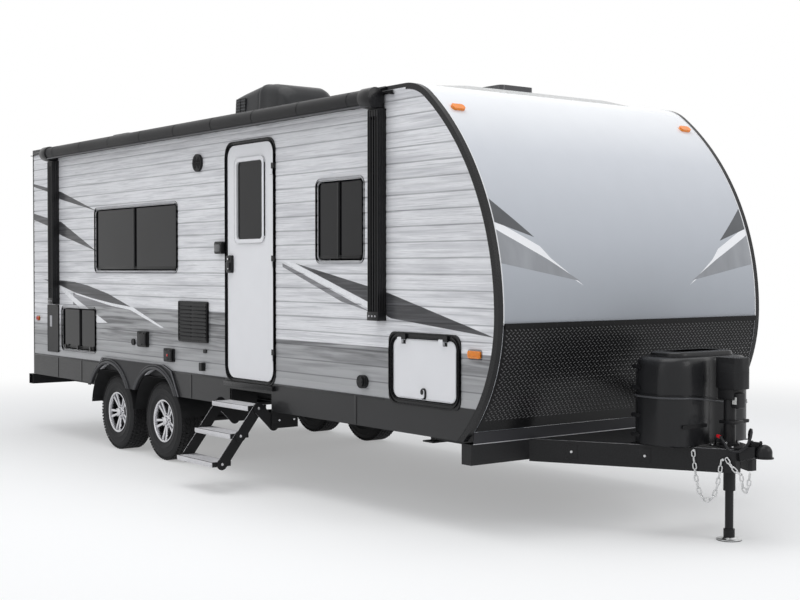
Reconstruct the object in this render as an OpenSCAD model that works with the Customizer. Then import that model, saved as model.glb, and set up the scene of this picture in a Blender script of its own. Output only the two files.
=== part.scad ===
// Travel caravan with two axles, an A-frame drawbar and folding entrance steps.
// Millimetres. X runs forward, Z up, and the entrance is on the -Y side.
// The origin is the centre of the ball socket in the coupler.

/* [Body] */
// Width over the skirts
body_w = 2440; // [2000:10:2950]
// Length of the body, from its foremost point to the rear wall
body_len = 7020; // [6950:10:8600]
// Height of the roof edge above the ground
roof_h = 2820; // [2700:10:3400]
// Thickness of the walls
wall_t = 40; // [30:1:50]
// Thickness of the roof panel
roof_t = 50; // [35:1:65]
// Rise of the roof's middle over its edges
crown = 40; // [20:1:60]
// Width of the roof's flat middle
roof_flat = 1300; // [1050:10:1500]
// Height of the foremost point of the nose
nose_h = 1350; // [1250:10:1450]
// Radius of the nose above its foremost point
nose_r_up = 1780; // [1600:10:2100]
// Radius of the nose below its foremost point
nose_r_low = 1080; // [1000:10:1300]
// Radius where the nose turns into the roof
nose_r_top = 350; // [200:10:420]

/* [Floor and chassis] */
// Height of the ball socket above the ground
coupler_h = 550; // [450:5:660]
// Distance from the ball socket back to the nose
tongue_len = 980; // [900:10:1200]
// Height of the underside of the floor
floor_h = 715; // [690:5:760]
// Thickness of the floor
floor_t = 70; // [50:1:85]
// Height of the lower edge of the skirts
skirt_h = 580; // [540:5:620]
// Distance between the two main rails
rail_gap = 1420; // [1300:10:1500]
// Height of the main rails
rail_h = 150; // [120:1:160]
// Height of the drawbar rails
drawbar_h = 140; // [100:1:150]
// Side of the square rear bumper tube
bumper_size = 100; // [80:1:120]
// Gap between the rear wall and the bumper
bumper_gap = 200; // [150:10:300]

/* [Wheels] */
// Radius of the tyres
tyre_r = 336; // [300:1:350]
// Width of the tyres
tyre_w = 205; // [185:1:215]
// Radius of the rim seat
rim_r = 178; // [160:1:190]
// Distance between the two axles
axle_gap = 893; // [870:1:1080]
// Distance from the rear wall to the rear axle
rear_overhang = 1765; // [1700:5:2200]
// Distance from a tyre's outer face to the skirt's outer face
tyre_inset = 64; // [55:1:90]
// Radius of each wheel arch
arch_r = 420; // [400:1:425]
// Height of the top of each arch
arch_h = 780; // [750:1:790]

/* [Entrance] */
// Distance from the nose to the middle of the entrance door
door_back = 2812; // [2700:10:2900]
// Width of the door leaf
door_w = 665; // [600:5:700]
// Height of the door leaf
door_h = 1783; // [1700:1:1800]
// Gap around each door and lid
door_gap = 6; // [5:1:8]
// Rise of one step
step_rise = 195; // [180:1:205]
// Run of one step
step_run = 150; // [140:1:165]
// Depth of one tread
tread_d = 160; // [140:1:170]
// Width of one tread
tread_w = 520; // [450:1:530]

/* [Luggage hatches] */
// Distance from the nose to the middle of each hatch
hatch_back = 699; // [680:1:760]
// Width of a hatch leaf
hatch_w = 640; // [560:5:660]
// Height of a hatch leaf
hatch_h = 382; // [330:1:400]

/* [Awning] */
// Distance from the nose to the middle of the front arm
arm_back = 1155; // [1110:5:1200]
// Distance between the two arms
arm_gap = 5280; // [5150:10:5350]
// Radius of the rolled awning
awning_r = 56; // [50:1:65]

/* [Tongue jack] */
// Distance from the ball socket back to the jack
jack_back = 255; // [240:5:300]
// Outer radius of the jack's fixed tube
jack_r = 36; // [33:0.5:40]
// Outer radius of the jack's leg
jack_leg_r = 25; // [22:0.5:27]
// Radius of the jack's foot
jack_foot_r = 76; // [60:1:90]

/* [Gas bottle cover] */
// Width of the cover across the drawbar
gas_w = 760; // [700:5:800]
// Length of the cover along the drawbar
gas_l = 400; // [340:5:430]
// Height of the cover
gas_h = 560; // [480:5:600]

/* [Hidden] */
$fn = 72;
eps = 1;
nose_facets = 720;

black = [0.06, 0.06, 0.065];
charcoal = [0.16, 0.16, 0.17];
silver = [0.82, 0.83, 0.85];
white = [0.93, 0.93, 0.94];
smoke = [0.1, 0.11, 0.12];

// Faces and heights that the pieces share, in the body's frame (nose at x = 0, ground at z = 0)
skin_t = 5;
side_y = body_w / 2;
wall_y = side_y - skin_t;
inner_y = wall_y - wall_t;
floor_top = floor_h + floor_t;
skirt_top = floor_top;
trim_t = 4;
trim_w_front = 36;
trim_w = 22;
rail_y = rail_gap / 2;
rail_z = floor_h - rail_h;
drawbar_z = rail_z - drawbar_h;
drawbar_w = 60;
frame_front = -270;
rail_front_end = tongue_len - 132;
roof_inner = roof_h - roof_t;
roof_top = roof_h + crown;

// Where the nose arc meets the roof's corner arc, and that arc meets the roof
corner_dz = roof_h - nose_r_top - nose_h;
corner_dx = sqrt(pow(nose_r_up - nose_r_top, 2) - pow(corner_dz, 2));
corner = [corner_dx - nose_r_up, roof_h - nose_r_top];
nose_meet = [-nose_r_up + nose_r_up * corner_dx / (nose_r_up - nose_r_top),
    nose_h + nose_r_up * corner_dz / (nose_r_up - nose_r_top)];
roof_front = corner[0];

axle_rear = rear_overhang - body_len;
axle_front = axle_rear + axle_gap;
tyre_y = side_y - tyre_inset - tyre_w / 2;
// Wheels. Columns: x of the axle, side (-1 right, 1 left)
WHEELS = [[axle_front, -1], [axle_front, 1], [axle_rear, -1], [axle_rear, 1]];

door_x = -door_back;
door_z = floor_top + 12;
frame_w = 24;
frame_proud = 12;
door_corner_r = 95;
door_window = [430, 650];
// Hinge knuckles stand just proud of the frames; the pins' axis is in the gap between leaf and frame
knuckle_r = 7;
knuckle_len = 42;
knuckle_gap = 0.3;
hinge_y = wall_y + frame_proud + knuckle_r + 0.4;
leaf_proud = 4;

hatch_x = -hatch_back;
hatch_z = floor_top + 20;
hatch_corner_r = 60;

// Windows. Columns: middle x, lower edge, width, height, x of the upright bar from the middle, side
WINDOWS = [
    [-4765, 1600, 1610, 595, 0, -1],
    [-1630, 1672, 580, 590, -15, -1],
    [-body_len + 1085, 852, 780, 430, 20, -1],
    [-4700, 1500, 1200, 560, 0, 1],
    [-1900, 1600, 760, 560, 0, 1],
    [-body_len + 1000, 1500, 600, 500, 0, 1]
];
window_r = 55;
pane_t = 4;
bar_w = 26;

arm_w = 112;
arm_depth = 70;
arm_low = 1295;
awning_z = roof_h - 72;
awning_y = side_y + awning_r + 28;
arm_front_x = -arm_back;
arm_rear_x = arm_front_x - arm_gap;

cooler_x = -4050;
cooler_y = -100;
cooler_l = 820;
cooler_w = 620;
cooler_h = 375;
cooler_r = 100;
cooler_base_h = 52;
cooler_taper = 70;
// Roof vents. Columns: middle x, middle y, width of the base, height of the lid
VENTS = [[-1300, -20, 300, 40], [-body_len + 470, -300, 360, 110]];
vent_wall = 30;
vent_base_h = 30;
vent_gap = 0.5;
vent_over = 10;
vent_pin_r = 6;

jack_x = tongue_len - jack_back;
jack_plate_t = 10;
jack_head_z = 918;
jack_leg_gap = 0.6;
jack_top = jack_head_z + 186;
jack_leg_top = 570;

gas_x = 430;
gas_y = 0;
gas_wall = 6;
gas_r = 150;
tray_t = 6;
tray_z = drawbar_z + drawbar_h;

// Steps: the pivot of each tread is at its middle
step_x = door_x;
tread_t = 34;
tread_top = floor_h - 90;
tread_out = 180;
link_t = 5;
link_w = 84;
link_gap = 5;
// Outer faces of the link plates: the lower links lie inside the middle ones, and the upper ones outside
link_pitch = 8;
link_x_low = tread_w / 2 + link_gap + link_t;
link_x_mid = link_x_low + link_pitch;
link_x_up = link_x_mid + link_pitch;
pivot_r = 8;
pivot_gap = 0.3;
tread_y1 = -side_y - tread_out + tread_d / 2;
tread_z1 = tread_top - tread_t / 2;
bracket_pivot = [tread_y1 + 130, tread_z1 - 133];
bracket_x = link_x_up + link_gap;

stab_len = 430;
stab_r = 9;
stab_w = 60;
stab_y = rail_y + 190;
stab_z = rail_z - 40;
// Stabiliser legs. Columns: hinge x, way that the folded leg points (1 forward, -1 back), side
STABS = [[-560, -1, -1], [-560, -1, 1], [-body_len + 700, 1, -1], [-body_len + 700, 1, 1]];

// Places its children in the body's frame, with the nose at x = 0 and the ground at z = 0
module in_body() {
    translate([-tongue_len, 0, -coupler_h]) children();
}

// Extrudes an outline drawn in X and Z, from y_from towards +Y
module slab(y_from, thick) {
    translate([0, y_from + thick, 0]) rotate([90, 0, 0]) linear_extrude(thick) children();
}

// Draws its children on the right side, or mirrored on the left
module on_side(side) {
    if (side < 0) children();
    else mirror([0, 1, 0]) children();
}

module rounded(w, h, r) {
    square([w - 2 * r, h], center = true);
    square([w, h - 2 * r], center = true);
    for (sx = [-1, 1], sz = [-1, 1]) translate([sx * (w / 2 - r), sz * (h / 2 - r)]) circle(r);
}

// A box given by its lowest corner and its size
module block(x, y, z, dx, dy, dz) {
    translate([x, y, z]) cube([dx, dy, dz]);
}

// Side outline of the body, moved inwards by inset, down to the height low
module body_outline(inset, low) {
    top = roof_h - inset;
    back = -body_len + inset;
    difference() {
        union() {
            translate([back, low]) square([-nose_r_up - back, top - low]);
            translate([-nose_r_up, low]) square([nose_r_up - nose_r_low, nose_h - low]);
            intersection() {
                translate([-nose_r_up, nose_h]) circle(nose_r_up - inset, $fn = nose_facets);
                translate([-nose_r_up, nose_h]) square([nose_r_up + 50, top - nose_h]);
            }
            intersection() {
                translate([-nose_r_low, nose_h]) circle(nose_r_low - inset, $fn = nose_facets);
                translate([-nose_r_low, low]) square([nose_r_low + 50, nose_h - low]);
            }
        }
        polygon([[roof_front, top], nose_meet - inset * (nose_meet - corner) / nose_r_top,
            [nose_meet[0] + 300, nose_meet[1]], [nose_meet[0] + 300, top + 300],
            [roof_front, top + 300]]);
    }
    translate(corner) circle(nose_r_top - inset, $fn = nose_facets);
}

// A band of the side view between two heights
module band(low, high) {
    translate([-body_len - 50, low]) square([body_len + 100, high - low]);
}

// The side view in front of a place
module ahead(x) {
    translate([x, 0]) square([-x + 100, roof_h + 100]);
}

module arches(r) {
    for (x = [axle_front, axle_rear]) translate([x, arch_h - arch_r]) circle(r);
}

module fender_outline() {
    polygon([[axle_rear - 395, skirt_h], [axle_rear - 130, skirt_top + 45],
        [axle_front + 150, skirt_top + 45], [axle_front + 300, skirt_top],
        [axle_front + 430, skirt_h]]);
}

// One knuckle along Z with its leaf: way 1 puts the leaf at +X, way -1 at -X.
// It stands on a face at y = face
module knuckle(way, face) {
    cylinder(r = knuckle_r, h = knuckle_len);
    difference() {
        translate([way > 0 ? 0 : -30, -knuckle_r, 0]) cube([30, knuckle_r + face, knuckle_len]);
        translate([-6, -knuckle_r + 4, -eps]) cube([12, 100, knuckle_len + 2 * eps]);
    }
}

// ---------------------------------------------------------------- chassis

module i_beam(len, h) {
    flange_w = 64;
    web = 7;
    flange_t = 8;
    block(0, -web / 2, 0, len, web, h);
    block(0, -flange_w / 2, 0, len, flange_w, flange_t);
    block(0, -flange_w / 2, h - flange_t, len, flange_w, flange_t);
}

module chassis_frame() {
    front_x = -330;
    len = body_len + front_x - 60;
    beam_h = 128;
    color(black) in_body() {
        for (s = [-1, 1]) translate([front_x - len, s * rail_y, rail_z]) i_beam(len, rail_h);
        // Cross-members between the rails and outriggers beyond them
        for (x = [-900, -2300, -3700, -body_len + 1100, -body_len + 120]) {
            block(x, -rail_y, rail_z + 20, 50, rail_gap, rail_h - 30);
        }
        for (x = [-900, -2280, -3400, -body_len + 1100, -body_len + 120], s = [-1, 1]) {
            block(x, s > 0 ? rail_y : -side_y + skin_t + 4, floor_h - 70, 40,
                side_y - skin_t - 4 - rail_y, 70);
        }
        block(front_x - 30, -side_y + 25, rail_z - beam_h, frame_front - front_x + 30, body_w - 50, beam_h);
    }
}

// A drawbar rail from its front end to its rear end
module drawbar_rail(front, rear) {
    run = front - rear;
    angle = atan2(run[1], run[0]);
    translate([rear[0], rear[1], drawbar_z]) rotate([0, 0, angle])
        block(0, -drawbar_w / 2, 0, norm(run), drawbar_w, drawbar_h);
}

module tongue_frame() {
    apex = [tongue_len - 130, 62];
    knee = [frame_front - 60, rail_y + 3];
    color(black) in_body() {
        difference() {
            union() {
                for (s = [-1, 1]) drawbar_rail([apex[0], s * apex[1]], [knee[0], s * knee[1]]);
                // Plate that the jack stands in
                block(jack_x - 70, -95, tray_z, 170, 190, jack_plate_t);
                block(gas_x - gas_l / 2 + 20, -gas_w / 2 + 30, tray_z, gas_l - 60, gas_w - 60, tray_t);
            }
            translate([jack_x, 0, 0]) cylinder(r = jack_r + 0.4, h = 2000);
            block(frame_front - 400, -body_w, 0, 400, 2 * body_w, 2000);
            block(rail_front_end, -body_w, 0, 400, 2 * body_w, 2000);
        }
    }
}

module coupler() {
    socket_r = 29.7;
    dome_r = 46;
    dome_z = 6;
    lip_z = -30;
    neck_back = -132;
    color(black) difference() {
        union() {
            translate([0, 0, dome_z]) sphere(dome_r);
            translate([0, 0, lip_z]) cylinder(r = dome_r, h = dome_z - lip_z);
            translate([0, 0, lip_z]) cylinder(r = dome_r + 8, h = 7);
            hull() {
                block(-60, -40, lip_z + 4, 20, 80, 62);
                block(neck_back - 16, -78, tray_z - coupler_h, 20, 156, 6);
                block(neck_back + 4, -74, lip_z - 24, 10, 148, 20);
            }
            block(-110, -14, 34, 80, 28, 24);
        }
        translate([0, 0, lip_z - 1]) cylinder(r = socket_r, h = dome_z - lip_z + 1);
        translate([0, 0, dome_z]) sphere(socket_r);
        translate([0, 0, lip_z - 60]) cylinder(r = socket_r, h = 60);
        // Notch that fits over the drawbar rails
        block(-400, -200, -300, 400 + neck_back, 400, 300 + tray_z - coupler_h);
    }
}

module rear_bumper() {
    tube = bumper_size;
    wall = 5;
    back = -body_len - bumper_gap - tube;
    low = rail_z - 105;
    half = side_y - 70;
    color(black) in_body() {
        difference() {
            block(back, -half, low, tube, 2 * half, tube);
            block(back + wall, -half - eps, low + wall, tube - 2 * wall, 2 * half + 2 * eps, tube - 2 * wall);
        }
        for (s = [-1, 1]) {
            block(back + tube, s * rail_y - 30, low + 10, bumper_gap + 230, 60, rail_z - low - 10);
        }
    }
}

module floor_deck() {
    color(charcoal) in_body() slab(-inner_y, 2 * inner_y) intersection() {
        body_outline(wall_t, floor_h);
        band(floor_h, floor_top);
    }
}

// ------------------------------------------------------------------ shell

module window_hole(w, side) {
    if (w[5] == side) translate([w[0], w[1] + w[3] / 2]) rounded(w[2] - 40, w[3] - 40, window_r - 20);
}

module door_hole(extra) {
    translate([door_x, door_z + door_h / 2]) rounded(door_w + 2 * extra, door_h + 2 * extra, door_corner_r);
}

module hatch_hole(extra) {
    translate([hatch_x, hatch_z + hatch_h / 2])
        rounded(hatch_w + 2 * extra, hatch_h + 2 * extra, hatch_corner_r);
}

module side_wall(side) {
    difference() {
        intersection() {
            body_outline(0, floor_h);
            band(floor_h, roof_h);
        }
        arches(arch_r);
        for (w = WINDOWS) window_hole(w, side);
        hatch_hole(door_gap + 4);
        if (side < 0) door_hole(door_gap + 4);
    }
}

module side_wall_right() {
    color(silver) in_body() slab(-wall_y, wall_t) side_wall(-1);
}

module side_wall_left() {
    color(silver) in_body() slab(inner_y, wall_t) side_wall(1);
}

module front_wall() {
    low = skirt_h + 60;
    color(silver) in_body() slab(-inner_y, 2 * inner_y) difference() {
        intersection() {
            body_outline(0, low);
            ahead(roof_front);
        }
        body_outline(wall_t, 0);
    }
}

// Plate that closes the gap between the front beam and the foot of the nose
module front_fascia() {
    half = inner_y - 2;
    color(black) in_body() block(frame_front - 6, -half, rail_z, 6, 2 * half, skirt_h + 58 - rail_z);
}

module front_rock_guard() {
    top = nose_h - 40;
    half = inner_y - 2;
    color(black) in_body() slab(-half, 2 * half) intersection() {
        union() {
            difference() {
                body_outline(-trim_t, skirt_h + 62);
                body_outline(0, 0);
                translate([-body_len - 100, top]) square([body_len + 200, roof_h]);
            }
            difference() {
                body_outline(-16, top - 32);
                body_outline(0, 0);
                translate([-body_len - 100, top]) square([body_len + 200, roof_h]);
            }
        }
        ahead(roof_front);
    }
}

module rear_wall() {
    color(silver) in_body()
        block(-body_len, -inner_y, floor_h - 30, wall_t, 2 * inner_y, roof_inner - floor_h + 30);
}

module roof() {
    color(white) in_body() {
        block(-body_len, -inner_y, roof_inner, body_len + roof_front, 2 * inner_y, roof_t);
        // The roof rises from both edges to a flat middle
        translate([-body_len, 0, roof_h]) rotate([90, 0, 90]) linear_extrude(body_len + roof_front - 60)
            polygon([[-inner_y, 0], [-roof_flat / 2, crown], [roof_flat / 2, crown], [inner_y, 0]]);
    }
}

module edge_trim_outer() {
    difference() {
        body_outline(-trim_t, skirt_h);
        body_outline(0, 0);
    }
}

// What the moulding's side flange leaves open: wide round the nose, narrow elsewhere
module trim_inner() {
    difference() {
        body_outline(trim_w, 0);
        difference() {
            ahead(roof_front);
            body_outline(trim_w_front, 0);
        }
    }
}

module edge_trims() {
    color(black) in_body() for (s = [-1, 1]) on_side(s) {
        slab(-wall_y - trim_t, trim_t + 34) edge_trim_outer();
        slab(-wall_y - trim_t, trim_t) difference() {
            body_outline(-trim_t, skirt_h);
            trim_inner();
        }
    }
}

module skirts() {
    notch = tread_w + 90;
    notch_top = floor_h - 6;
    color(charcoal) in_body() for (s = [-1, 1]) on_side(s) slab(-side_y, skin_t) difference() {
        intersection() {
            trim_inner();
            band(skirt_h, skirt_top);
        }
        fender_outline();
        if (s < 0) translate([step_x - notch / 2, 0]) square([notch, notch_top]);
        hatch_hole(door_gap + 36);
        if (s < 0) door_hole(frame_w + door_gap);
    }
}

module fender_trims() {
    proud = 14;
    lip = 10;
    color(charcoal) in_body() for (s = [-1, 1]) on_side(s) {
        slab(-wall_y - proud, proud) difference() {
            fender_outline();
            arches(arch_r);
        }
        // Raised lip along each arch
        slab(-wall_y - proud - lip, lip) intersection() {
            difference() {
                arches(arch_r + 22);
                arches(arch_r);
            }
            fender_outline();
        }
    }
}

function door_hinges() = [door_z + 160, door_z + door_h / 2 - 40, door_z + door_h - 250];

module door_frame() {
    color(black) in_body() {
        slab(-wall_y - frame_proud, frame_proud) difference() {
            door_hole(frame_w + door_gap);
            door_hole(door_gap);
        }
        slab(-wall_y, wall_t) difference() {
            door_hole(door_gap + 4);
            door_hole(door_gap);
        }
        for (z = door_hinges())
            translate([door_x + door_w / 2 + door_gap / 2, -hinge_y, z + knuckle_len + knuckle_gap])
                knuckle(1, hinge_y - wall_y - frame_proud);
        // Threshold under the leaf
        block(door_x - door_w / 2 - frame_w, -side_y - 26, door_z - door_gap - frame_w - 34,
            door_w + 2 * frame_w, 26, 34);
    }
}

// Frame of one window, with its ring on the wall and its upright bar
module window_frame(w) {
    on_side(w[5]) translate([w[0], 0, w[1] + w[3] / 2]) {
        slab(-wall_y - frame_proud, frame_proud) difference() {
            rounded(w[2], w[3], window_r);
            rounded(w[2] - 64, w[3] - 64, window_r - 32);
        }
        slab(-wall_y, wall_t) difference() {
            rounded(w[2] - 40, w[3] - 40, window_r - 20);
            rounded(w[2] - 64, w[3] - 64, window_r - 32);
        }
        translate([w[4], 0, 0])
            block(-bar_w / 2, -wall_y - frame_proud + 3, -w[3] / 2 + 31, bar_w, 12, w[3] - 62);
    }
}

module window_frames() {
    color(black) in_body() for (w = WINDOWS) window_frame(w);
}

module window_panes() {
    color(smoke) in_body() for (w = WINDOWS) on_side(w[5]) translate([w[0], 0, w[1] + w[3] / 2])
        slab(-wall_y + 6, pane_t) rounded(w[2] - 64, w[3] - 64, window_r - 32);
}

// Hinge knuckles along the top of a hatch, lying along X
module hatch_hinges(way, face, shift) {
    for (x = [hatch_x - hatch_w / 2 + 110, hatch_x + hatch_w / 2 - 110])
        translate([x + shift, -hinge_y, hatch_z + hatch_h + door_gap / 2]) rotate([0, -90, 0])
            knuckle(way, face);
}

module hatch_frames() {
    color(black) in_body() for (s = [-1, 1]) on_side(s) {
        hatch_hinges(1, hinge_y - wall_y - frame_proud, knuckle_len + knuckle_gap);
        slab(-wall_y - frame_proud, frame_proud) difference() {
            hatch_hole(door_gap + 36);
            hatch_hole(door_gap);
        }
        slab(-wall_y, wall_t) difference() {
            hatch_hole(door_gap + 4);
            hatch_hole(door_gap);
        }
    }
}

// ------------------------------------------------------- awning and roof

module awning_roller() {
    over = 40;
    color(black) in_body()
        translate([arm_rear_x - over, -awning_y, awning_z]) rotate([0, 90, 0])
            cylinder(r = awning_r, h = arm_gap + 2 * over);
}

module awning_arms() {
    inner_t = arm_depth - 20;
    color(black) in_body() for (x = [arm_front_x, arm_rear_x]) {
        // Channel on the wall, with the folded arm lying in it
        difference() {
            block(x - arm_w / 2, -wall_y - arm_depth, arm_low, arm_w, arm_depth,
                awning_z - arm_low - awning_r - 12);
            block(x - arm_w / 2 + 14, -wall_y - arm_depth - eps, arm_low - eps, arm_w - 28, arm_depth - 16,
                awning_z - arm_low - awning_r - 60);
        }
        block(x - arm_w / 2 + 34, -wall_y - arm_depth + 4, arm_low + 14, arm_w - 68, inner_t,
            awning_z - arm_low - awning_r - 100);
        // Head that carries the roller
        difference() {
            block(x - arm_w / 2 + 20, -awning_y - 20, awning_z - awning_r - 12, arm_w - 40,
                awning_y + 20 - wall_y, 2 * awning_r - 6);
            translate([x - arm_w, -awning_y, awning_z]) rotate([0, 90, 0])
                cylinder(r = awning_r, h = 2 * arm_w);
        }
    }
}

module roof_air_conditioner() {
    half = cooler_l / 2;
    color(black) in_body() translate([cooler_x, cooler_y, roof_top]) {
        linear_extrude(cooler_base_h) rounded(cooler_l, cooler_w, cooler_r);
        // Shroud: a louvred rear part that rises to a crest, and a front part that falls away
        intersection() {
            translate([0, cooler_w / 2, 0]) rotate([90, 0, 0]) linear_extrude(cooler_w)
                polygon([[15 - half, 0], [30 - half, cooler_h - cooler_taper], [30, cooler_h],
                    [half - 130, cooler_h - 25], [half - 40, cooler_h - cooler_taper], [half, 0]]);
            linear_extrude(cooler_h + 50) rounded(cooler_l, cooler_w, cooler_r);
        }
    }
}

module roof_vent_bases() {
    color(white) in_body() for (v = VENTS) translate([v[0], v[1], roof_top])
        linear_extrude(vent_base_h) difference() {
            rounded(v[2], v[2], 30);
            rounded(v[2] - 2 * vent_wall, v[2] - 2 * vent_wall, 20);
        }
}

// Lid of a roof vent, hinged along its rear edge
module roof_vent_lid(v) {
    span = v[2] + 2 * vent_over;
    color(black) in_body() translate([v[0], v[1], roof_top + vent_base_h + vent_gap]) {
        linear_extrude(v[3]) rounded(span, span, 40);
        // Hinge pin along the rear edge
        translate([-span / 2, 0, 0]) rotate([90, 0, 0])
            cylinder(r = vent_pin_r, h = v[2] - 100, center = true);
    }
}
module roof_vent_lid_front() {
    roof_vent_lid(VENTS[0]);
}
module roof_vent_lid_rear() {
    roof_vent_lid(VENTS[1]);
}

// ------------------------------------------------------ drawbar equipment

module gas_shape(inset) {
    translate([gas_x, gas_y]) rounded(gas_l - 2 * inset, gas_w - 2 * inset, gas_r - inset);
}

module gas_cover() {
    lid_h = 30;
    base = tray_z + tray_t;
    color(charcoal) in_body() {
        difference() {
            translate([0, 0, base]) linear_extrude(gas_h - lid_h) gas_shape(0);
            translate([0, 0, base - eps]) linear_extrude(gas_h - lid_h - gas_wall + eps) gas_shape(gas_wall);
        }
        translate([0, 0, base + gas_h - lid_h]) linear_extrude(lid_h) translate([gas_x, gas_y])
            rounded(gas_l - 130, gas_w - 200, 90);
    }
}

module jack_housing() {
    tube_low = drawbar_z - 15;
    color(black) in_body() translate([jack_x, 0, 0]) difference() {
        union() {
            translate([0, 0, tube_low]) cylinder(r = jack_r, h = jack_head_z - tube_low);
            translate([0, 0, tray_z + jack_plate_t]) cylinder(r = jack_r + 26, h = 12);
            // Motor and gear head
            translate([0, 0, jack_head_z - 60]) linear_extrude(60) rounded(96, 84, 24);
            translate([20, 0, jack_head_z]) linear_extrude(jack_top - jack_head_z) rounded(190, 120, 36);
        }
        translate([0, 0, tube_low - eps])
            cylinder(r = jack_leg_r + jack_leg_gap, h = jack_head_z - tube_low - 10);
    }
}

module jack_leg() {
    foot_t = 8;
    collar_h = 60;
    color(charcoal) in_body() translate([jack_x, 0, 0]) {
        cylinder(r = jack_foot_r, h = foot_t);
        translate([0, 0, foot_t]) cylinder(r = jack_leg_r + 9, h = collar_h);
        translate([0, 0, foot_t]) cylinder(r = jack_leg_r, h = jack_leg_top - foot_t);
    }
}

// --------------------------------------------------------- running gear

axle_r = 32;
spindle_r = 20;
spindle_gap = 0.3;
hub_y = tyre_y - 30;
spring_w = 45;
spring_z = tyre_r + 62;

module axles() {
    color(black) in_body() for (x = [axle_front, axle_rear]) translate([x, 0, tyre_r]) rotate([90, 0, 0]) {
        cylinder(r = axle_r, h = 2 * hub_y - 120, center = true);
        for (s = [-1, 1]) translate([0, 0, s * (hub_y - 40)]) cylinder(r = 135, h = 60, center = true);
        // Spindles that carry the wheels
        for (s = [-1, 1]) translate([0, 0, s * (tyre_y + 8)]) cylinder(r = spindle_r, h = 136, center = true);
    }
}

// Leaf spring pack over one axle, as nested arcs of leaves
module spring_pack() {
    sag_r = 1400;
    leaf_t = 9;
    for (k = [0:3]) {
        half = 330 - 75 * k;
        intersection() {
            translate([0, spring_w / 2, -leaf_t * k]) rotate([90, 0, 0])
                linear_extrude(spring_w) difference() {
                translate([0, sag_r]) circle(sag_r, $fn = 360);
                translate([0, sag_r]) circle(sag_r - leaf_t, $fn = 360);
            }
            block(-half, -spring_w / 2 - eps, -leaf_t * k - eps, 2 * half, spring_w + 2 * eps, 200);
        }
    }
}

module leaf_springs() {
    mid = (axle_front + axle_rear) / 2;
    color(black) in_body() for (s = [-1, 1]) {
        for (x = [axle_front, axle_rear]) translate([x, s * rail_y, spring_z]) spring_pack();
        // Seats between the springs and the axles
        for (x = [axle_front, axle_rear]) {
            difference() {
                block(x - 50, s * rail_y - 35, tyre_r, 100, 70, spring_z - tyre_r - 27);
                translate([x, 0, tyre_r]) rotate([90, 0, 0]) cylinder(r = axle_r, h = 3000, center = true);
            }
        }
        // Hangers from the rails, and the equaliser between the springs
        for (x = [axle_rear - 330, axle_front + 330]) {
            block(x - 30, s * rail_y - 29, spring_z + 30, 60, 6, rail_z - spring_z - 30);
            block(x - 30, s * rail_y + 23, spring_z + 30, 60, 6, rail_z - spring_z - 30);
        }
        block(mid - 50, s * rail_y - 29, spring_z + 20, 100, 6, rail_z - spring_z - 20);
        block(mid - 50, s * rail_y + 23, spring_z + 20, 100, 6, rail_z - spring_z - 20);
        block(mid - 120, s * rail_y - 23, spring_z + 52, 240, 46, 30);
    }
}

module tyre(w) {
    shoulder = 34;
    color(black) in_body() translate([w[0], w[1] * tyre_y, tyre_r])
        rotate([90, 0, 0]) rotate_extrude() difference() {
        union() {
            translate([rim_r, -tyre_w / 2 + shoulder]) square([tyre_r - rim_r, tyre_w - 2 * shoulder]);
            translate([rim_r, -tyre_w / 2]) square([tyre_r - rim_r - shoulder, tyre_w]);
            for (s = [-1, 1]) translate([tyre_r - shoulder, s * (tyre_w / 2 - shoulder)]) circle(shoulder);
        }
        translate([0, -tyre_w]) square([rim_r, 2 * tyre_w]);
    }
}
module tyre_front_right() {
    tyre(WHEELS[0]);
}
module tyre_front_left() {
    tyre(WHEELS[1]);
}
module tyre_rear_right() {
    tyre(WHEELS[2]);
}
module tyre_rear_left() {
    tyre(WHEELS[3]);
}

// Alloy wheel: a barrel, a hub boss and five pairs of spokes
module rim(w) {
    barrel_t = 8;
    lip = 12;
    face = tyre_w / 2 - 26;
    color(silver) in_body() translate([w[0], w[1] * tyre_y, tyre_r]) rotate([w[1] < 0 ? 90 : -90, 0, 0]) {
        difference() {
            translate([0, 0, -tyre_w / 2 + 8]) cylinder(r = rim_r, h = tyre_w - 16);
            translate([0, 0, -tyre_w / 2]) cylinder(r = rim_r - barrel_t, h = tyre_w);
        }
        difference() {
            translate([0, 0, tyre_w / 2 - 8 - lip]) cylinder(r = rim_r, h = lip);
            translate([0, 0, tyre_w / 2 - 30]) cylinder(r = rim_r - 16, h = 40);
        }
        difference() {
            translate([0, 0, face - 30]) cylinder(r = 60, h = 34);
            translate([0, 0, face - 60]) cylinder(r = spindle_r + spindle_gap, h = 70);
        }
        translate([0, 0, face - 30]) linear_extrude(22) for (k = [0:4], s = [-1, 1]) rotate(72 * k + 90)
            polygon([[34, s * 6], [rim_r - barrel_t + 1, s * 24], [rim_r - barrel_t + 1, s * 42],
                [34, s * 30]]);
        translate([0, 0, face + 4]) cylinder(r = 34, h = 14);
    }
}
module rim_front_right() {
    rim(WHEELS[0]);
}
module rim_front_left() {
    rim(WHEELS[1]);
}
module rim_rear_right() {
    rim(WHEELS[2]);
}
module rim_rear_left() {
    rim(WHEELS[3]);
}

// ------------------------------------------------------- doors and lids

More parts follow.
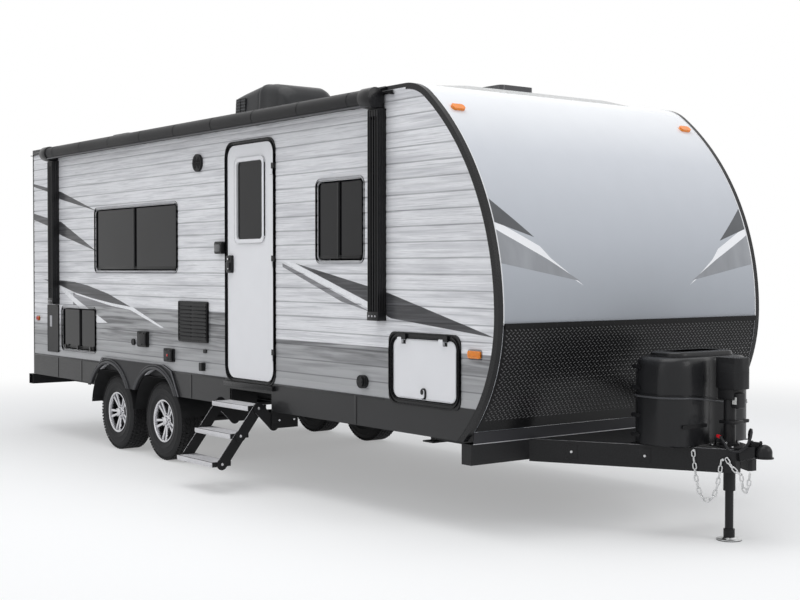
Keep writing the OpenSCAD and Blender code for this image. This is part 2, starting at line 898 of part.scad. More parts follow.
module entry_door() {
    win_z = door_z + door_h - 100 - door_window[1] / 2;
    handle = [door_x - door_w / 2 + 50, 1672];
    color(white) in_body() difference() {
        slab(-wall_y - leaf_proud, wall_t) difference() {
            door_hole(0);
            translate([door_x, win_z]) rounded(door_window[0] - 60, door_window[1] - 60, 30);
        }
    }
    color(black) in_body() {
        slab(-wall_y - 14, 10) difference() {
            translate([door_x, win_z]) rounded(door_window[0], door_window[1], 50);
            translate([door_x, win_z]) rounded(door_window[0] - 60, door_window[1] - 60, 30);
        }
        slab(-wall_y + 4, pane_t) translate([door_x, win_z])
            rounded(door_window[0] - 60, door_window[1] - 60, 30);
        slab(-wall_y - 26, 22) translate(handle) rounded(74, 132, 12);
        for (z = door_hinges()) translate([door_x + door_w / 2 + door_gap / 2, -hinge_y, z])
            knuckle(-1, hinge_y - wall_y - leaf_proud);
    }
}

module hatch(side) {
    color(white) in_body() on_side(side) {
        slab(-wall_y - leaf_proud, wall_t - 10) hatch_hole(0);
        hatch_hinges(-1, hinge_y - wall_y - leaf_proud, 0);
        slab(-wall_y - 22, 18) translate([hatch_x, hatch_z + 40]) rounded(36, 56, 16);
    }
}
module hatch_right() {
    hatch(-1);
}
module hatch_left() {
    hatch(1);
}

// ------------------------------------------------------- entrance steps

// Flat bar between two pivots in the YZ plane, on both sides of the steps
module link_pair(from, to, x_out, fixed = false) {
    run = to - from;
    angle = atan2(run[1], run[0]);
    for (s = [-1, 1]) translate([step_x + (s > 0 ? x_out - link_t : -x_out), 0, 0])
        rotate([90, 0, 90]) linear_extrude(link_t) translate(from) rotate(angle) difference() {
            union() {
                translate([0, -link_w / 2]) square([norm(run), link_w]);
                circle(link_w / 2);
                translate([norm(run), 0]) circle(link_w / 2);
            }
            if (!fixed) circle(pivot_r + pivot_gap);
            translate([norm(run), 0]) circle(pivot_r + pivot_gap);
        }
}

// Tread number k counts down from the door: a plate with a nose, and a pivot shaft through its middle
module tread(k, shaft_x) {
    y = tread_y1 - k * step_run;
    z = tread_z1 - k * step_rise;
    color(silver) in_body() translate([step_x, y, z]) {
        block(-tread_w / 2, -tread_d / 2, -tread_t / 2, tread_w, tread_d, tread_t);
        rotate([0, 90, 0]) cylinder(r = pivot_r, h = 2 * shaft_x, center = true);
    }
}

function tread_pivot(k) = [tread_y1 - k * step_run, tread_z1 - k * step_rise];

module step_bracket() {
    pivot = bracket_pivot;
    edge = 24;
    color(black) in_body() {
        for (s = [-1, 1]) difference() {
            translate([step_x + (s > 0 ? bracket_x : -bracket_x - link_t), 0, 0]) rotate([90, 0, 90])
                linear_extrude(link_t)
                    translate([pivot[0] - edge, pivot[1] - edge]) square([230, floor_h - pivot[1] + edge]);
            translate([step_x, pivot[0], pivot[1]]) rotate([0, 90, 0])
                cylinder(r = pivot_r + pivot_gap, h = 3000, center = true);
        }
    }
}

module step_links_upper() {
    color(black) in_body() {
        link_pair(bracket_pivot, tread_pivot(0), link_x_up, true);
        // Shafts that turn in the bracket
        for (s = [-1, 1]) translate([step_x + s * (link_x_up - link_t), bracket_pivot[0], bracket_pivot[1]])
            rotate([0, 90, 0]) mirror([0, 0, s > 0 ? 0 : 1])
                cylinder(r = pivot_r, h = bracket_x + link_t + 3 - link_x_up + link_t);
    }
}
module step_tread_upper() {
    tread(0, link_x_up + 2);
}
module step_links_middle() {
    color(black) in_body() link_pair(tread_pivot(0), tread_pivot(1), link_x_mid);
}
module step_tread_middle() {
    tread(1, link_x_mid + 2);
}
module step_links_lower() {
    color(black) in_body() link_pair(tread_pivot(1), tread_pivot(2), link_x_low);
}
module step_tread_lower() {
    tread(2, link_x_low + 2);
}

// ------------------------------------------------------------ stabilisers

module stabiliser_mounts() {
    color(black) in_body() for (s = STABS) on_side(s[2]) for (e = [-1, 1])
        difference() {
            union() {
                block(s[0] - 30, -stab_y + e * (stab_w / 2 + 8) - 3, stab_z - 25, 60, 6,
                    floor_h - stab_z + 25);
                // Arm that ties the inner ear to the main rail
                if (e > 0) block(s[0] - 30, -stab_y + stab_w / 2 + 8, rail_z + 60, 60,
                    stab_y - stab_w / 2 - 8 - rail_y - 4, 25);
            }
            translate([s[0], 0, stab_z]) rotate([90, 0, 0])
                cylinder(r = stab_r + 0.3, h = 4000, center = true);
        }
}

module stabiliser(s) {
    color(black) in_body() on_side(s[2]) translate([s[0], -stab_y, stab_z]) {
        rotate([90, 0, 0]) cylinder(r = stab_r, h = stab_w + 30, center = true);
        translate([s[1] > 0 ? 0 : -stab_len, -stab_w / 2, -18]) cube([stab_len, stab_w, 36]);
        translate([s[1] * (stab_len - 20), 0, -30]) cube([110, 140, 10], center = true);
        translate([s[1] * (stab_len - 20), 0, -22]) cube([40, 60, 10], center = true);
    }
}
module stabiliser_front_right() {
    stabiliser(STABS[0]);
}
module stabiliser_front_left() {
    stabiliser(STABS[1]);
}
module stabiliser_rear_right() {
    stabiliser(STABS[2]);
}
module stabiliser_rear_left() {
    stabiliser(STABS[3]);
}

// -------------------------------------------------------- small fittings

// A rounded plate on the side wall. Place is [x, z]; size is [width, height, corner radius, thickness]
module side_plate(place, size) {
    slab(-wall_y - size[3], size[3]) translate(place) rounded(size[0], size[1], size[2]);
}

module marker_lamps() {
    color("orange") in_body() {
        for (s = [-1, 1]) on_side(s) side_plate([-206, 1118], [116, 46, 16, 18]);
        // Two amber lamps on the nose, one near each top corner
        for (s = [-1, 1]) {
            rise = 2640 - nose_h;
            angle = asin(rise / nose_r_up);
            translate([-nose_r_up, s * 1070, nose_h]) rotate([0, -angle, 0]) translate([nose_r_up, 0, 0])
                rotate([0, 90, 0]) linear_extrude(20) rounded(46, 100, 16);
        }
    }
    color("red") in_body() for (s = [-1, 1]) on_side(s) {
        side_plate([-body_len + 124, 1143], [60, 40, 14, 16]);
        // Tail lamp cluster on the rear wall
        translate([-body_len - 24, -inner_y + 60, 1150]) rotate([90, 0, 90]) linear_extrude(24)
            translate([60, 0]) rounded(120, 200, 20);
    }
}

module wall_fittings() {
    color(black) in_body() {
        // Loudspeaker, porch lamp, louvred refrigerator vent and service hatch on the entrance side
        side_plate([-3605, 2485], [140, 140, 68, 22]);
        side_plate([-3238, 1800], [110, 96, 20, 42]);
        side_plate([-3690, 1208], [484, 330, 16, 18]);
        side_plate([-body_len + 500, 1055], [262, 462, 10, 12]);
        side_plate([-4570, 1030], [170, 136, 14, 30]);
        side_plate([-4092, 917], [150, 112, 14, 30]);
        side_plate([-1344, 880], [100, 88, 42, 30]);
        side_plate([-3527, 852], [44, 66, 8, 40]);
        side_plate([-3503, 976], [44, 30, 8, 14]);
        side_plate([-4772, 997], [56, 56, 26, 16]);
        // Water heater door, cable inlet, filler and furnace outlet on the other side
        on_side(1) {
            side_plate([-3300, 1160], [400, 400, 16, 18]);
            side_plate([-2500, 1000], [120, 120, 20, 30]);
            side_plate([-2200, 1000], [120, 120, 20, 30]);
            side_plate([-body_len + 500, 1000], [200, 200, 20, 24]);
        }
    }
}

// ---------------------------------------------------------- trailer cable

cable_r = 8;
cable_sides = 10;
// Route of the cable, from the drawbar plate over the coupler and back to its clip
CABLE = [[-314, -58, 33.4], [-306, -70, 37], [-290, -92, 62], [-262, -112, 88], [-222, -122, 84],
    [-196, -127, 58], [-176, -130, 32], [-152, -134, 14], [-124, -126, 6], [-96, -112, 10],
    [-72, -88, 30], [-58, -74, 62], [-56, -56, 96], [-66, -36, 120], [-84, -14, 132],
    [-108, 10, 130], [-132, 32, 116], [-150, 50, 94], [-160, 64, 66], [-163, 68, 44], [-163, 68, 25.6]];

function ring_at(k, n) =
    let (ahead = CABLE[min(k + 1, n - 1)], back = CABLE[max(k - 1, 0)],
         t = (ahead - back) / norm(ahead - back),
         side = cross(t, [0, 0.3, 1]), u = side / norm(side), v = cross(t, u))
    [for (j = [0:cable_sides - 1]) CABLE[k] + cable_r * (cos(360 * j / cable_sides) * u
        + sin(360 * j / cable_sides) * v)];

module trailer_cable() {
    n = len(CABLE);
    points = [for (k = [0:n - 1]) each ring_at(k, n)];
    walls = [for (k = [0:n - 2], j = [0:cable_sides - 1])
        let (a = k * cable_sides + j, b = k * cable_sides + (j + 1) % cable_sides)
        [b, a, a + cable_sides, b + cable_sides]];
    start = [[for (j = [0:cable_sides - 1]) j]];
    end = [[for (j = [cable_sides - 1:-1:0]) (n - 1) * cable_sides + j]];
    color(black) polyhedron(points, concat(walls, start, end), convexity = 6);
}

chassis_frame();
tongue_frame();
coupler();
rear_bumper();
floor_deck();
side_wall_right();
side_wall_left();
front_wall();
front_fascia();
front_rock_guard();
rear_wall();
roof();
edge_trims();
skirts();
fender_trims();
door_frame();
window_frames();
window_panes();
hatch_frames();
awning_roller();
awning_arms();
roof_air_conditioner();
roof_vent_bases();
roof_vent_lid_front();
roof_vent_lid_rear();
gas_cover();
jack_housing();
jack_leg();
axles();
leaf_springs();
tyre_front_right();
tyre_front_left();
tyre_rear_right();
tyre_rear_left();
rim_front_right();
rim_front_left();
rim_rear_right();
rim_rear_left();
entry_door();
hatch_right();
hatch_left();
step_bracket();
step_links_upper();
step_tread_upper();
step_links_middle();
step_tread_middle();
step_links_lower();
step_tread_lower();
stabiliser_mounts();
stabiliser_front_right();
stabiliser_front_left();
stabiliser_rear_right();
stabiliser_rear_left();
marker_lamps();
wall_fittings();
trailer_cable();
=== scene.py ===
"""A two-axle travel caravan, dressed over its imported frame.

X runs forward from the ball socket at the origin, Z is up, the entrance is on the -Y side, metres.
"""

import math
import random

import bmesh
import bpy
from mathutils import Matrix, Vector


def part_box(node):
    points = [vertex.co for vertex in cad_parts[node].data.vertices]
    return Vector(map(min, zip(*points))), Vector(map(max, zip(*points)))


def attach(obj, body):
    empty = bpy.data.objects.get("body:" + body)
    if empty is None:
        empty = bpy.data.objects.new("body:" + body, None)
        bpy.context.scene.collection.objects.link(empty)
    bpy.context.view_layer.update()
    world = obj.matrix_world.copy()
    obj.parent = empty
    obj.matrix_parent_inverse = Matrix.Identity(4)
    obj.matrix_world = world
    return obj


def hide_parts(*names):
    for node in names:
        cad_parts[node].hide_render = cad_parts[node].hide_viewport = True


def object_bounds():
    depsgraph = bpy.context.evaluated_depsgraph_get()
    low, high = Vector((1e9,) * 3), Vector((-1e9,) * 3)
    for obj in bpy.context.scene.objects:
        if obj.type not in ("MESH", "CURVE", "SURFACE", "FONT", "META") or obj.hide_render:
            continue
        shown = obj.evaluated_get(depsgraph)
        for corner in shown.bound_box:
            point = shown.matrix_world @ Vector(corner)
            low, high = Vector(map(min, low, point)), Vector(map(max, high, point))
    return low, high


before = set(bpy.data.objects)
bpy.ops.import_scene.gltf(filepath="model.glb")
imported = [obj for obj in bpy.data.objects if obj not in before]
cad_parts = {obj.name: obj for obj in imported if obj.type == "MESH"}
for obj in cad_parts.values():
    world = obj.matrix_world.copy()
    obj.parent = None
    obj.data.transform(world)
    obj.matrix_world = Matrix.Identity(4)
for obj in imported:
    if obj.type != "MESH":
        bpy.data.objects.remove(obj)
cad_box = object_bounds()

# ---------------------------------------------------------------- studio
# A pale floor that fades to white, one wide soft lamp overhead, and a softer one in front of the nose.
# The camera stands off the entrance side, ahead of the coupler, a little above the drawbar.

GROUND = cad_box[0][2]
scene = bpy.context.scene
scene.view_settings.view_transform = "Standard"

camera = bpy.data.objects.new("camera", bpy.data.cameras.new("camera"))
scene.collection.objects.link(camera)
camera.location = (4.869, -6.431, 1.083)
camera.rotation_euler = (math.radians(88.716), 0, math.radians(52.557))
camera.data.sensor_width = 36
camera.data.lens = 59.74
camera.data.shift_x = 0.001
camera.data.shift_y = -0.0014
scene.camera = camera


def seen_directly(tree):
    """Adds a node chain that is 1 for camera, glossy and transmission rays, and 0 for the light that falls."""
    path = tree.nodes.new("ShaderNodeLightPath")
    total = path.outputs["Is Camera Ray"]
    for kind in ("Is Glossy Ray", "Is Transmission Ray"):
        add = tree.nodes.new("ShaderNodeMath")
        add.operation = "MAXIMUM"
        tree.links.new(total, add.inputs[0])
        tree.links.new(path.outputs[kind], add.inputs[1])
        total = add.outputs[0]
    return total


world = bpy.data.worlds.new("studio")
world.use_nodes = True
scene.world = world
sky = world.node_tree
sky.nodes.clear()
falling = sky.nodes.new("ShaderNodeBackground")
falling.inputs["Color"].default_value = (0.93, 0.96, 1.0, 1)
falling.inputs["Strength"].default_value = 0.50
backdrop = sky.nodes.new("ShaderNodeBackground")
backdrop.inputs["Color"].default_value = (1, 1, 1, 1)
backdrop.inputs["Strength"].default_value = 1.0
choose = sky.nodes.new("ShaderNodeMixShader")
result = sky.nodes.new("ShaderNodeOutputWorld")
sky.links.new(seen_directly(sky), choose.inputs["Fac"])
sky.links.new(falling.outputs[0], choose.inputs[1])
sky.links.new(backdrop.outputs[0], choose.inputs[2])
sky.links.new(choose.outputs[0], result.inputs["Surface"])

floor_shape = bmesh.new()
bmesh.ops.create_grid(floor_shape, x_segments=2, y_segments=2, size=60)
bmesh.ops.translate(floor_shape, verts=floor_shape.verts, vec=(-4, 0, GROUND - 0.0005))
floor_mesh = bpy.data.meshes.new("studio_floor")
floor_shape.to_mesh(floor_mesh)
floor_shape.free()
studio_floor = bpy.data.objects.new("studio_floor", floor_mesh)
scene.collection.objects.link(studio_floor)

floor_paint = bpy.data.materials.new("studio_floor")
floor_paint.use_nodes = True
tree = floor_paint.node_tree
tree.nodes.clear()
place = tree.nodes.new("ShaderNodeTexCoord")
centre = tree.nodes.new("ShaderNodeMapping")
centre.inputs["Location"].default_value = (4.0, 0, 0)
reach = tree.nodes.new("ShaderNodeVectorMath")
reach.operation = "LENGTH"
fade = tree.nodes.new("ShaderNodeMapRange")
fade.interpolation_type = "SMOOTHSTEP"
fade.inputs["From Min"].default_value = 5.0
fade.inputs["From Max"].default_value = 11.0
fade.inputs["To Min"].default_value = 0.35
both = tree.nodes.new("ShaderNodeMath")
both.operation = "MULTIPLY"
matt = tree.nodes.new("ShaderNodeBsdfDiffuse")
matt.inputs["Color"].default_value = (0.95, 0.95, 0.95, 1)
glow = tree.nodes.new("ShaderNodeEmission")
blend = tree.nodes.new("ShaderNodeMixShader")
result = tree.nodes.new("ShaderNodeOutputMaterial")
tree.links.new(place.outputs["Object"], centre.inputs["Vector"])
tree.links.new(centre.outputs[0], reach.inputs[0])
tree.links.new(reach.outputs["Value"], fade.inputs["Value"])
tree.links.new(fade.outputs[0], both.inputs[0])
tree.links.new(seen_directly(tree), both.inputs[1])
tree.links.new(both.outputs[0], blend.inputs["Fac"])
tree.links.new(matt.outputs[0], blend.inputs[1])
tree.links.new(glow.outputs[0], blend.inputs[2])
tree.links.new(blend.outputs[0], result.inputs["Surface"])
floor_mesh.materials.append(floor_paint)


def soft_lamp(name, place, target, size, power):
    """A square area lamp that faces a point."""
    lamp = bpy.data.objects.new(name, bpy.data.lights.new(name, "AREA"))
    lamp.data.size = size
    lamp.data.energy = power
    lamp.location = place
    lamp.rotation_euler = (Vector(target) - Vector(place)).to_track_quat("-Z", "Y").to_euler()
    scene.collection.objects.link(lamp)


soft_lamp("overhead", (-3.5, -1.5, 9.0), (-4.0, 0, 0), 9.0, 560)
soft_lamp("side", (-5.0, -11.0, 5.0), (-4.5, 0, 0.8), 7.0, 120)
soft_lamp("nose", (7.5, 3.0, 5.5), (-1.5, 0, 1.0), 5.0, 230)

# ---------------------------------------------------------------- trailer cable
# The seven-core cable leaves the drawbar plate, loops over the coupler and returns to its clip.
# It is a round black rubber jacket, free between its two fixings.

CABLE_RADIUS = 0.008
CABLE_ROUTE = [
    (-0.314, -0.058, 0.0334), (-0.306, -0.070, 0.037), (-0.290, -0.092, 0.062), (-0.262, -0.112, 0.088),
    (-0.222, -0.122, 0.084), (-0.196, -0.127, 0.058), (-0.176, -0.130, 0.032), (-0.152, -0.134, 0.014),
    (-0.124, -0.126, 0.006), (-0.096, -0.112, 0.010), (-0.072, -0.088, 0.030), (-0.058, -0.074, 0.062),
    (-0.056, -0.056, 0.096), (-0.066, -0.036, 0.120), (-0.084, -0.014, 0.132), (-0.108, 0.010, 0.130),
    (-0.132, 0.032, 0.116), (-0.150, 0.050, 0.094), (-0.160, 0.064, 0.066), (-0.163, 0.068, 0.044),
    (-0.163, 0.068, 0.0256)]
cable_line = bpy.data.curves.new("trailer_cable_jacket", "CURVE")
cable_line.dimensions = "3D"
cable_line.bevel_depth = 1.0
cable_line.bevel_resolution = 4
cable_line.use_fill_caps = True
strand = cable_line.splines.new("POLY")
strand.points.add(len(CABLE_ROUTE) - 1)
for point, spot in zip(strand.points, CABLE_ROUTE):
    point.co = (*spot, 1)
    point.radius = CABLE_RADIUS
cable = bpy.data.objects.new("trailer_cable_jacket", cable_line)
scene.collection.objects.link(cable)
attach(cable, "caravan")
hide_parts("trailer_cable")


def surface(name, colour, rough, metal=0.0, grain=60.0, stretch=(1, 1, 1), vary=0.12, bump=0.0002, coat=0.0,
            specular=0.22):
    """A material whose colour, gloss and relief all wander a little, at the grain of the real finish."""
    paint = bpy.data.materials.new(name)
    paint.use_nodes = True
    net = paint.node_tree
    shader = net.nodes["Principled BSDF"]
    shader.inputs["Metallic"].default_value = metal
    shader.inputs["Coat Weight"].default_value = coat
    shader.inputs["Coat Roughness"].default_value = 0.08
    shader.inputs["Specular IOR Level"].default_value = specular
    place = net.nodes.new("ShaderNodeTexCoord")
    lay = net.nodes.new("ShaderNodeMapping")
    lay.inputs["Scale"].default_value = stretch
    net.links.new(place.outputs["Object"], lay.inputs["Vector"])
    fine = net.nodes.new("ShaderNodeTexNoise")
    fine.inputs["Scale"].default_value = grain
    fine.inputs["Detail"].default_value = 5
    broad = net.nodes.new("ShaderNodeTexNoise")
    broad.inputs["Scale"].default_value = 1.7
    broad.inputs["Detail"].default_value = 3
    net.links.new(lay.outputs[0], fine.inputs["Vector"])
    net.links.new(place.outputs["Object"], broad.inputs["Vector"])
    mean = net.nodes.new("ShaderNodeMath")
    mean.operation = "MULTIPLY_ADD"
    mean.inputs[1].default_value = 0.6
    net.links.new(fine.outputs["Fac"], mean.inputs[0])
    less = net.nodes.new("ShaderNodeMath")
    less.operation = "MULTIPLY"
    less.inputs[1].default_value = 0.4
    net.links.new(broad.outputs["Fac"], less.inputs[0])
    net.links.new(less.outputs[0], mean.inputs[2])
    tone = net.nodes.new("ShaderNodeValToRGB")
    tone.name = "tone"
    tone.color_ramp.elements[0].position = 0.3
    tone.color_ramp.elements[1].position = 0.7
    for stop, share in zip(tone.color_ramp.elements, (1 - vary, 1 + vary)):
        stop.color = (*[min(1, c * share) for c in colour], 1)
    net.links.new(mean.outputs[0], tone.inputs["Fac"])
    net.links.new(tone.outputs["Color"], shader.inputs["Base Color"])
    gloss = net.nodes.new("ShaderNodeMapRange")
    gloss.inputs["From Min"].default_value = 0.3
    gloss.inputs["From Max"].default_value = 0.7
    gloss.inputs["To Min"].default_value = max(0.02, rough * 0.82)
    gloss.inputs["To Max"].default_value = min(1, rough * 1.2)
    net.links.new(mean.outputs[0], gloss.inputs["Value"])
    net.links.new(gloss.outputs[0], shader.inputs["Roughness"])
    relief = net.nodes.new("ShaderNodeBump")
    relief.inputs["Distance"].default_value = bump
    net.links.new(fine.outputs["Fac"], relief.inputs["Height"])
    net.links.new(relief.outputs[0], shader.inputs["Normal"])
    return paint


cable_rubber = surface("cable_rubber", (0.016, 0.016, 0.018), 0.42, grain=300, vary=0.3, bump=0.0004)
cable_line.materials.append(cable_rubber)


def settle(name, shape, paint, body="caravan", crease=32):
    """Turns a finished shape into a piece that rides on a body, with its creases kept sharp."""
    mesh = bpy.data.meshes.new(name)
    shape.to_mesh(mesh)
    shape.free()
    mesh.shade_smooth()
    mesh.set_sharp_from_angle(angle=math.radians(crease))
    for coat in paint if isinstance(paint, list) else [paint]:
        mesh.materials.append(coat)
    piece = bpy.data.objects.new(name, mesh)
    scene.collection.objects.link(piece)
    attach(piece, body)
    return piece


def block(shape, low, high):
    """A box between two corners; returns its vertices."""
    made = bmesh.ops.create_cube(shape, size=1)["verts"]
    low, high = Vector(low), Vector(high)
    bmesh.ops.scale(shape, vec=high - low, verts=made)
    bmesh.ops.translate(shape, vec=(low + high) / 2, verts=made)
    return made


def rod(shape, start, end, radius, sides=16, radius_end=None):
    """A closed round bar between two points; returns its vertices."""
    start, end = Vector(start), Vector(end)
    turn = (end - start).to_track_quat("Z", "Y").to_matrix().to_4x4()
    made = bmesh.ops.create_cone(shape, cap_ends=True, segments=sides, radius1=radius,
                                 radius2=radius if radius_end is None else radius_end,
                                 depth=(end - start).length,
                                 matrix=Matrix.Translation((start + end) / 2) @ turn)
    return made["verts"]


def soften(shape, width, verts=None, segments=2, angle=30):
    """Bevels the sharp edges of a shape, or of the part of it that the vertices span."""
    span = set(shape.verts if verts is None else verts)
    sharp = [e for e in shape.edges if e.verts[0] in span and e.verts[1] in span
             and len(e.link_faces) == 2 and e.calc_face_angle(0) > math.radians(angle)]
    bmesh.ops.bevel(shape, geom=sharp, offset=width, offset_type="OFFSET", affect="EDGES",
                    segments=segments, profile=0.5, material=-1, clamp_overlap=True)


def rounded_outline(width, height, radius, steps=6):
    """Points of a rounded rectangle about its middle, anticlockwise."""
    points = []
    for corner, (u, v) in enumerate(((1, 1), (-1, 1), (-1, -1), (1, -1))):
        for k in range(steps + 1):
            turn = math.radians(90 * (corner + k / steps))
            points.append((u * (width / 2 - radius) + radius * math.cos(turn),
                           v * (height / 2 - radius) + radius * math.sin(turn)))
    return points


def mirrored(shape):
    """Adds the other side's copy, mirrored across the middle of the caravan."""
    copy = bmesh.ops.duplicate(shape, geom=shape.verts[:] + shape.edges[:] + shape.faces[:])["geom"]
    verts = [g for g in copy if isinstance(g, bmesh.types.BMVert)]
    bmesh.ops.scale(shape, vec=(1, -1, 1), verts=verts)
    bmesh.ops.reverse_faces(shape, faces=[g for g in copy if isinstance(g, bmesh.types.BMFace)])


def dress(paint, *nodes):
    """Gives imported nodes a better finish."""
    for node in nodes:
        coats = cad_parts[node].data.materials
        coats.clear()
        coats.append(paint)


# Tag on the cable: a red plastic sleeve pushed over the jacket where it rises off the plate.
tag_shape = bmesh.new()
low, high = Vector(CABLE_ROUTE[3]), Vector(CABLE_ROUTE[4])
rod(tag_shape, low.lerp(high, 0.15), low.lerp(high, 0.85), CABLE_RADIUS * 1.25, sides=20)
soften(tag_shape, 0.001)
settle("cable_tag", tag_shape, surface("tag_red", (0.6, 0.01, 0.02), 0.35, grain=90, vary=0.1))

# ---------------------------------------------------------------- siding
# Corrugated aluminium sheet, printed with a pale wood grain over a darker grey band, stapled to the frame.
# Each sheet is a ribbed profile trimmed by the wall it covers, so its window and door holes are the wall's
# own.

WALL_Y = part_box("side_wall_right")[0].y
WALL_BACK, WALL_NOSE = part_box("side_wall_right")[0].x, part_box("side_wall_right")[1].x
SKIRT_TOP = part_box("skirts")[1].z
ROOF_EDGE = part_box("side_wall_right")[1].z
RIB_PITCH = 0.102
RIB = [(0.0, 0.0006), (0.007, 0.0030), (0.022, 0.0036), (0.046, 0.0032), (0.054, 0.0014), (0.062, 0.0030),
       (0.078, 0.0034), (0.092, 0.0022)]


def grain_paint(name, light, dark, rough=0.32, band=None):
    """Printed sheet: streaks of grain along the ribs, dirt and painted shade in the valleys, and a darker band
    low down.
    """
    paint = surface(name, light, rough, grain=26, stretch=(0.5, 0.5, 9), vary=0.1, bump=0.0003, coat=0.15)
    net = paint.node_tree
    shader = net.nodes["Principled BSDF"]
    place = net.nodes.new("ShaderNodeTexCoord")

    def streaks(scale, stretch, low, high):
        lay = net.nodes.new("ShaderNodeMapping")
        lay.inputs["Scale"].default_value = stretch
        grain = net.nodes.new("ShaderNodeTexNoise")
        grain.inputs["Scale"].default_value = scale
        grain.inputs["Detail"].default_value = 6
        grain.inputs["Distortion"].default_value = 0.4
        ramp = net.nodes.new("ShaderNodeMapRange")
        ramp.inputs["From Min"].default_value = low
        ramp.inputs["From Max"].default_value = high
        net.links.new(place.outputs["Object"], lay.inputs["Vector"])
        net.links.new(lay.outputs[0], grain.inputs["Vector"])
        net.links.new(grain.outputs["Fac"], ramp.inputs["Value"])
        return ramp.outputs[0]

    def blend(factor, first, second, way="MIX"):
        mix = net.nodes.new("ShaderNodeMix")
        mix.data_type = "RGBA"
        mix.blend_type = way
        for socket, value in ((mix.inputs["Factor"], factor), (mix.inputs["A"], first),
            (mix.inputs["B"], second)):
            if isinstance(value, (tuple, float)):
                socket.default_value = (*value, 1) if isinstance(value, tuple) else value
            else:
                net.links.new(value, socket)
        return mix.outputs["Result"]

    def step(value, low, high):
        ramp = net.nodes.new("ShaderNodeMapRange")
        ramp.interpolation_type = "SMOOTHSTEP"
        ramp.inputs["From Min"].default_value = low
        ramp.inputs["From Max"].default_value = high
        net.links.new(value, ramp.inputs["Value"])
        return ramp.outputs[0]

    def product(first, second):
        times = net.nodes.new("ShaderNodeMath")
        times.operation = "MULTIPLY"
        net.links.new(first, times.inputs[0])
        net.links.new(second, times.inputs[1])
        return times.outputs[0]

    base = net.nodes["tone"].outputs["Color"]
    whole = blend(streaks(2.4, (0.55, 0.55, 13), 0.46, 0.68), base, dark)
    whole = blend(streaks(7.0, (0.4, 0.4, 22), 0.52, 0.75), whole, tuple(c * 0.8 for c in dark))
    parts = net.nodes.new("ShaderNodeSeparateXYZ")
    net.links.new(place.outputs["Object"], parts.inputs[0])
    if band:
        deep, pale, front_top, rear_top = band
        shade = blend(streaks(3.2, (0.45, 0.45, 10), 0.38, 0.62), deep, pale)
        ahead = step(parts.outputs["X"], -3.80, -3.79)
        limit = net.nodes.new("ShaderNodeMapRange")
        limit.inputs["To Min"].default_value = rear_top
        limit.inputs["To Max"].default_value = front_top
        net.links.new(ahead, limit.inputs["Value"])
        above = net.nodes.new("ShaderNodeMath")
        above.operation = "SUBTRACT"
        net.links.new(parts.outputs["Z"], above.inputs[0])
        net.links.new(limit.outputs[0], above.inputs[1])
        below = net.nodes.new("ShaderNodeMapRange")
        below.inputs["From Min"].default_value = 0.002
        below.inputs["From Max"].default_value = -0.002
        net.links.new(above.outputs[0], below.inputs["Value"])
        # Towards the rear corner the band fades in from the pale sheet
        corner = step(parts.outputs["X"], -7.0, -6.72)
        low_part = step(parts.outputs["Z"], 0.70, 0.42)
        fade = net.nodes.new("ShaderNodeMath")
        fade.operation = "MAXIMUM"
        net.links.new(corner, fade.inputs[0])
        net.links.new(low_part, fade.inputs[1])
        whole = blend(product(below.outputs[0], fade.outputs[0]), whole, shade)
        # The band lightens downwards
        whole = blend(product(product(below.outputs[0], fade.outputs[0]),
            step(parts.outputs["Z"], 0.62, 0.22)),
                      whole, pale)
    # Dirt and painted shade: a dark line multiplied into the valley of every rib
    valley = net.nodes.new("ShaderNodeMath")
    valley.operation = "PINGPONG"
    valley.inputs[1].default_value = RIB_PITCH / 2
    shift = net.nodes.new("ShaderNodeMath")
    shift.operation = "SUBTRACT"
    shift.inputs[1].default_value = SKIRT_TOP
    net.links.new(parts.outputs["Z"], shift.inputs[0])
    net.links.new(shift.outputs[0], valley.inputs[0])
    line = step(valley.outputs[0], 0.007, 0.001)
    whole = blend(line, whole, (0.55, 0.55, 0.56), "MULTIPLY")
    net.links.new(whole, shader.inputs["Base Color"])
    return paint


BAND = ((0.13, 0.131, 0.136), (0.40, 0.402, 0.41), 0.57, 0.742)
sheet_print = grain_paint("siding_print", (0.80, 0.80, 0.82), (0.60, 0.60, 0.625), band=BAND)
rear_print = grain_paint("rear_print", (0.80, 0.80, 0.82), (0.62, 0.62, 0.645))
stripe_dark = grain_paint("stripe_charcoal", (0.052, 0.052, 0.056), (0.12, 0.12, 0.128))
stripe_grey = grain_paint("stripe_grey", (0.20, 0.20, 0.21), (0.32, 0.32, 0.335))
stripe_white = surface("stripe_white", (0.86, 0.86, 0.88), 0.28, grain=80, vary=0.03, coat=0.2)


def ribbed_sheet(length, bottom, top, lift):
    """A closed sheet lying along +X from 0, its ribs towards -Y, lifted off the wall by lift."""
    shape = bmesh.new()
    count = math.ceil((top - bottom) / RIB_PITCH)
    front = [(-depth - lift, bottom + k * RIB_PITCH + z) for k in range(count) for z, depth in RIB]
    front = [(y, z) for y, z in front if z < top] + [(-RIB[0][1] - lift, top)]
    back = [(-lift + 0.0003, top), (-lift + 0.0003, bottom)]
    end = shape.faces.new([shape.verts.new((0, y, z)) for y, z in front + back])
    made = bmesh.ops.extrude_face_region(shape, geom=[end])["geom"]
    bmesh.ops.translate(shape, vec=(length, 0, 0),
        verts=[g for g in made if isinstance(g, bmesh.types.BMVert)])
    bmesh.ops.recalc_face_normals(shape, faces=shape.faces)
    return shape


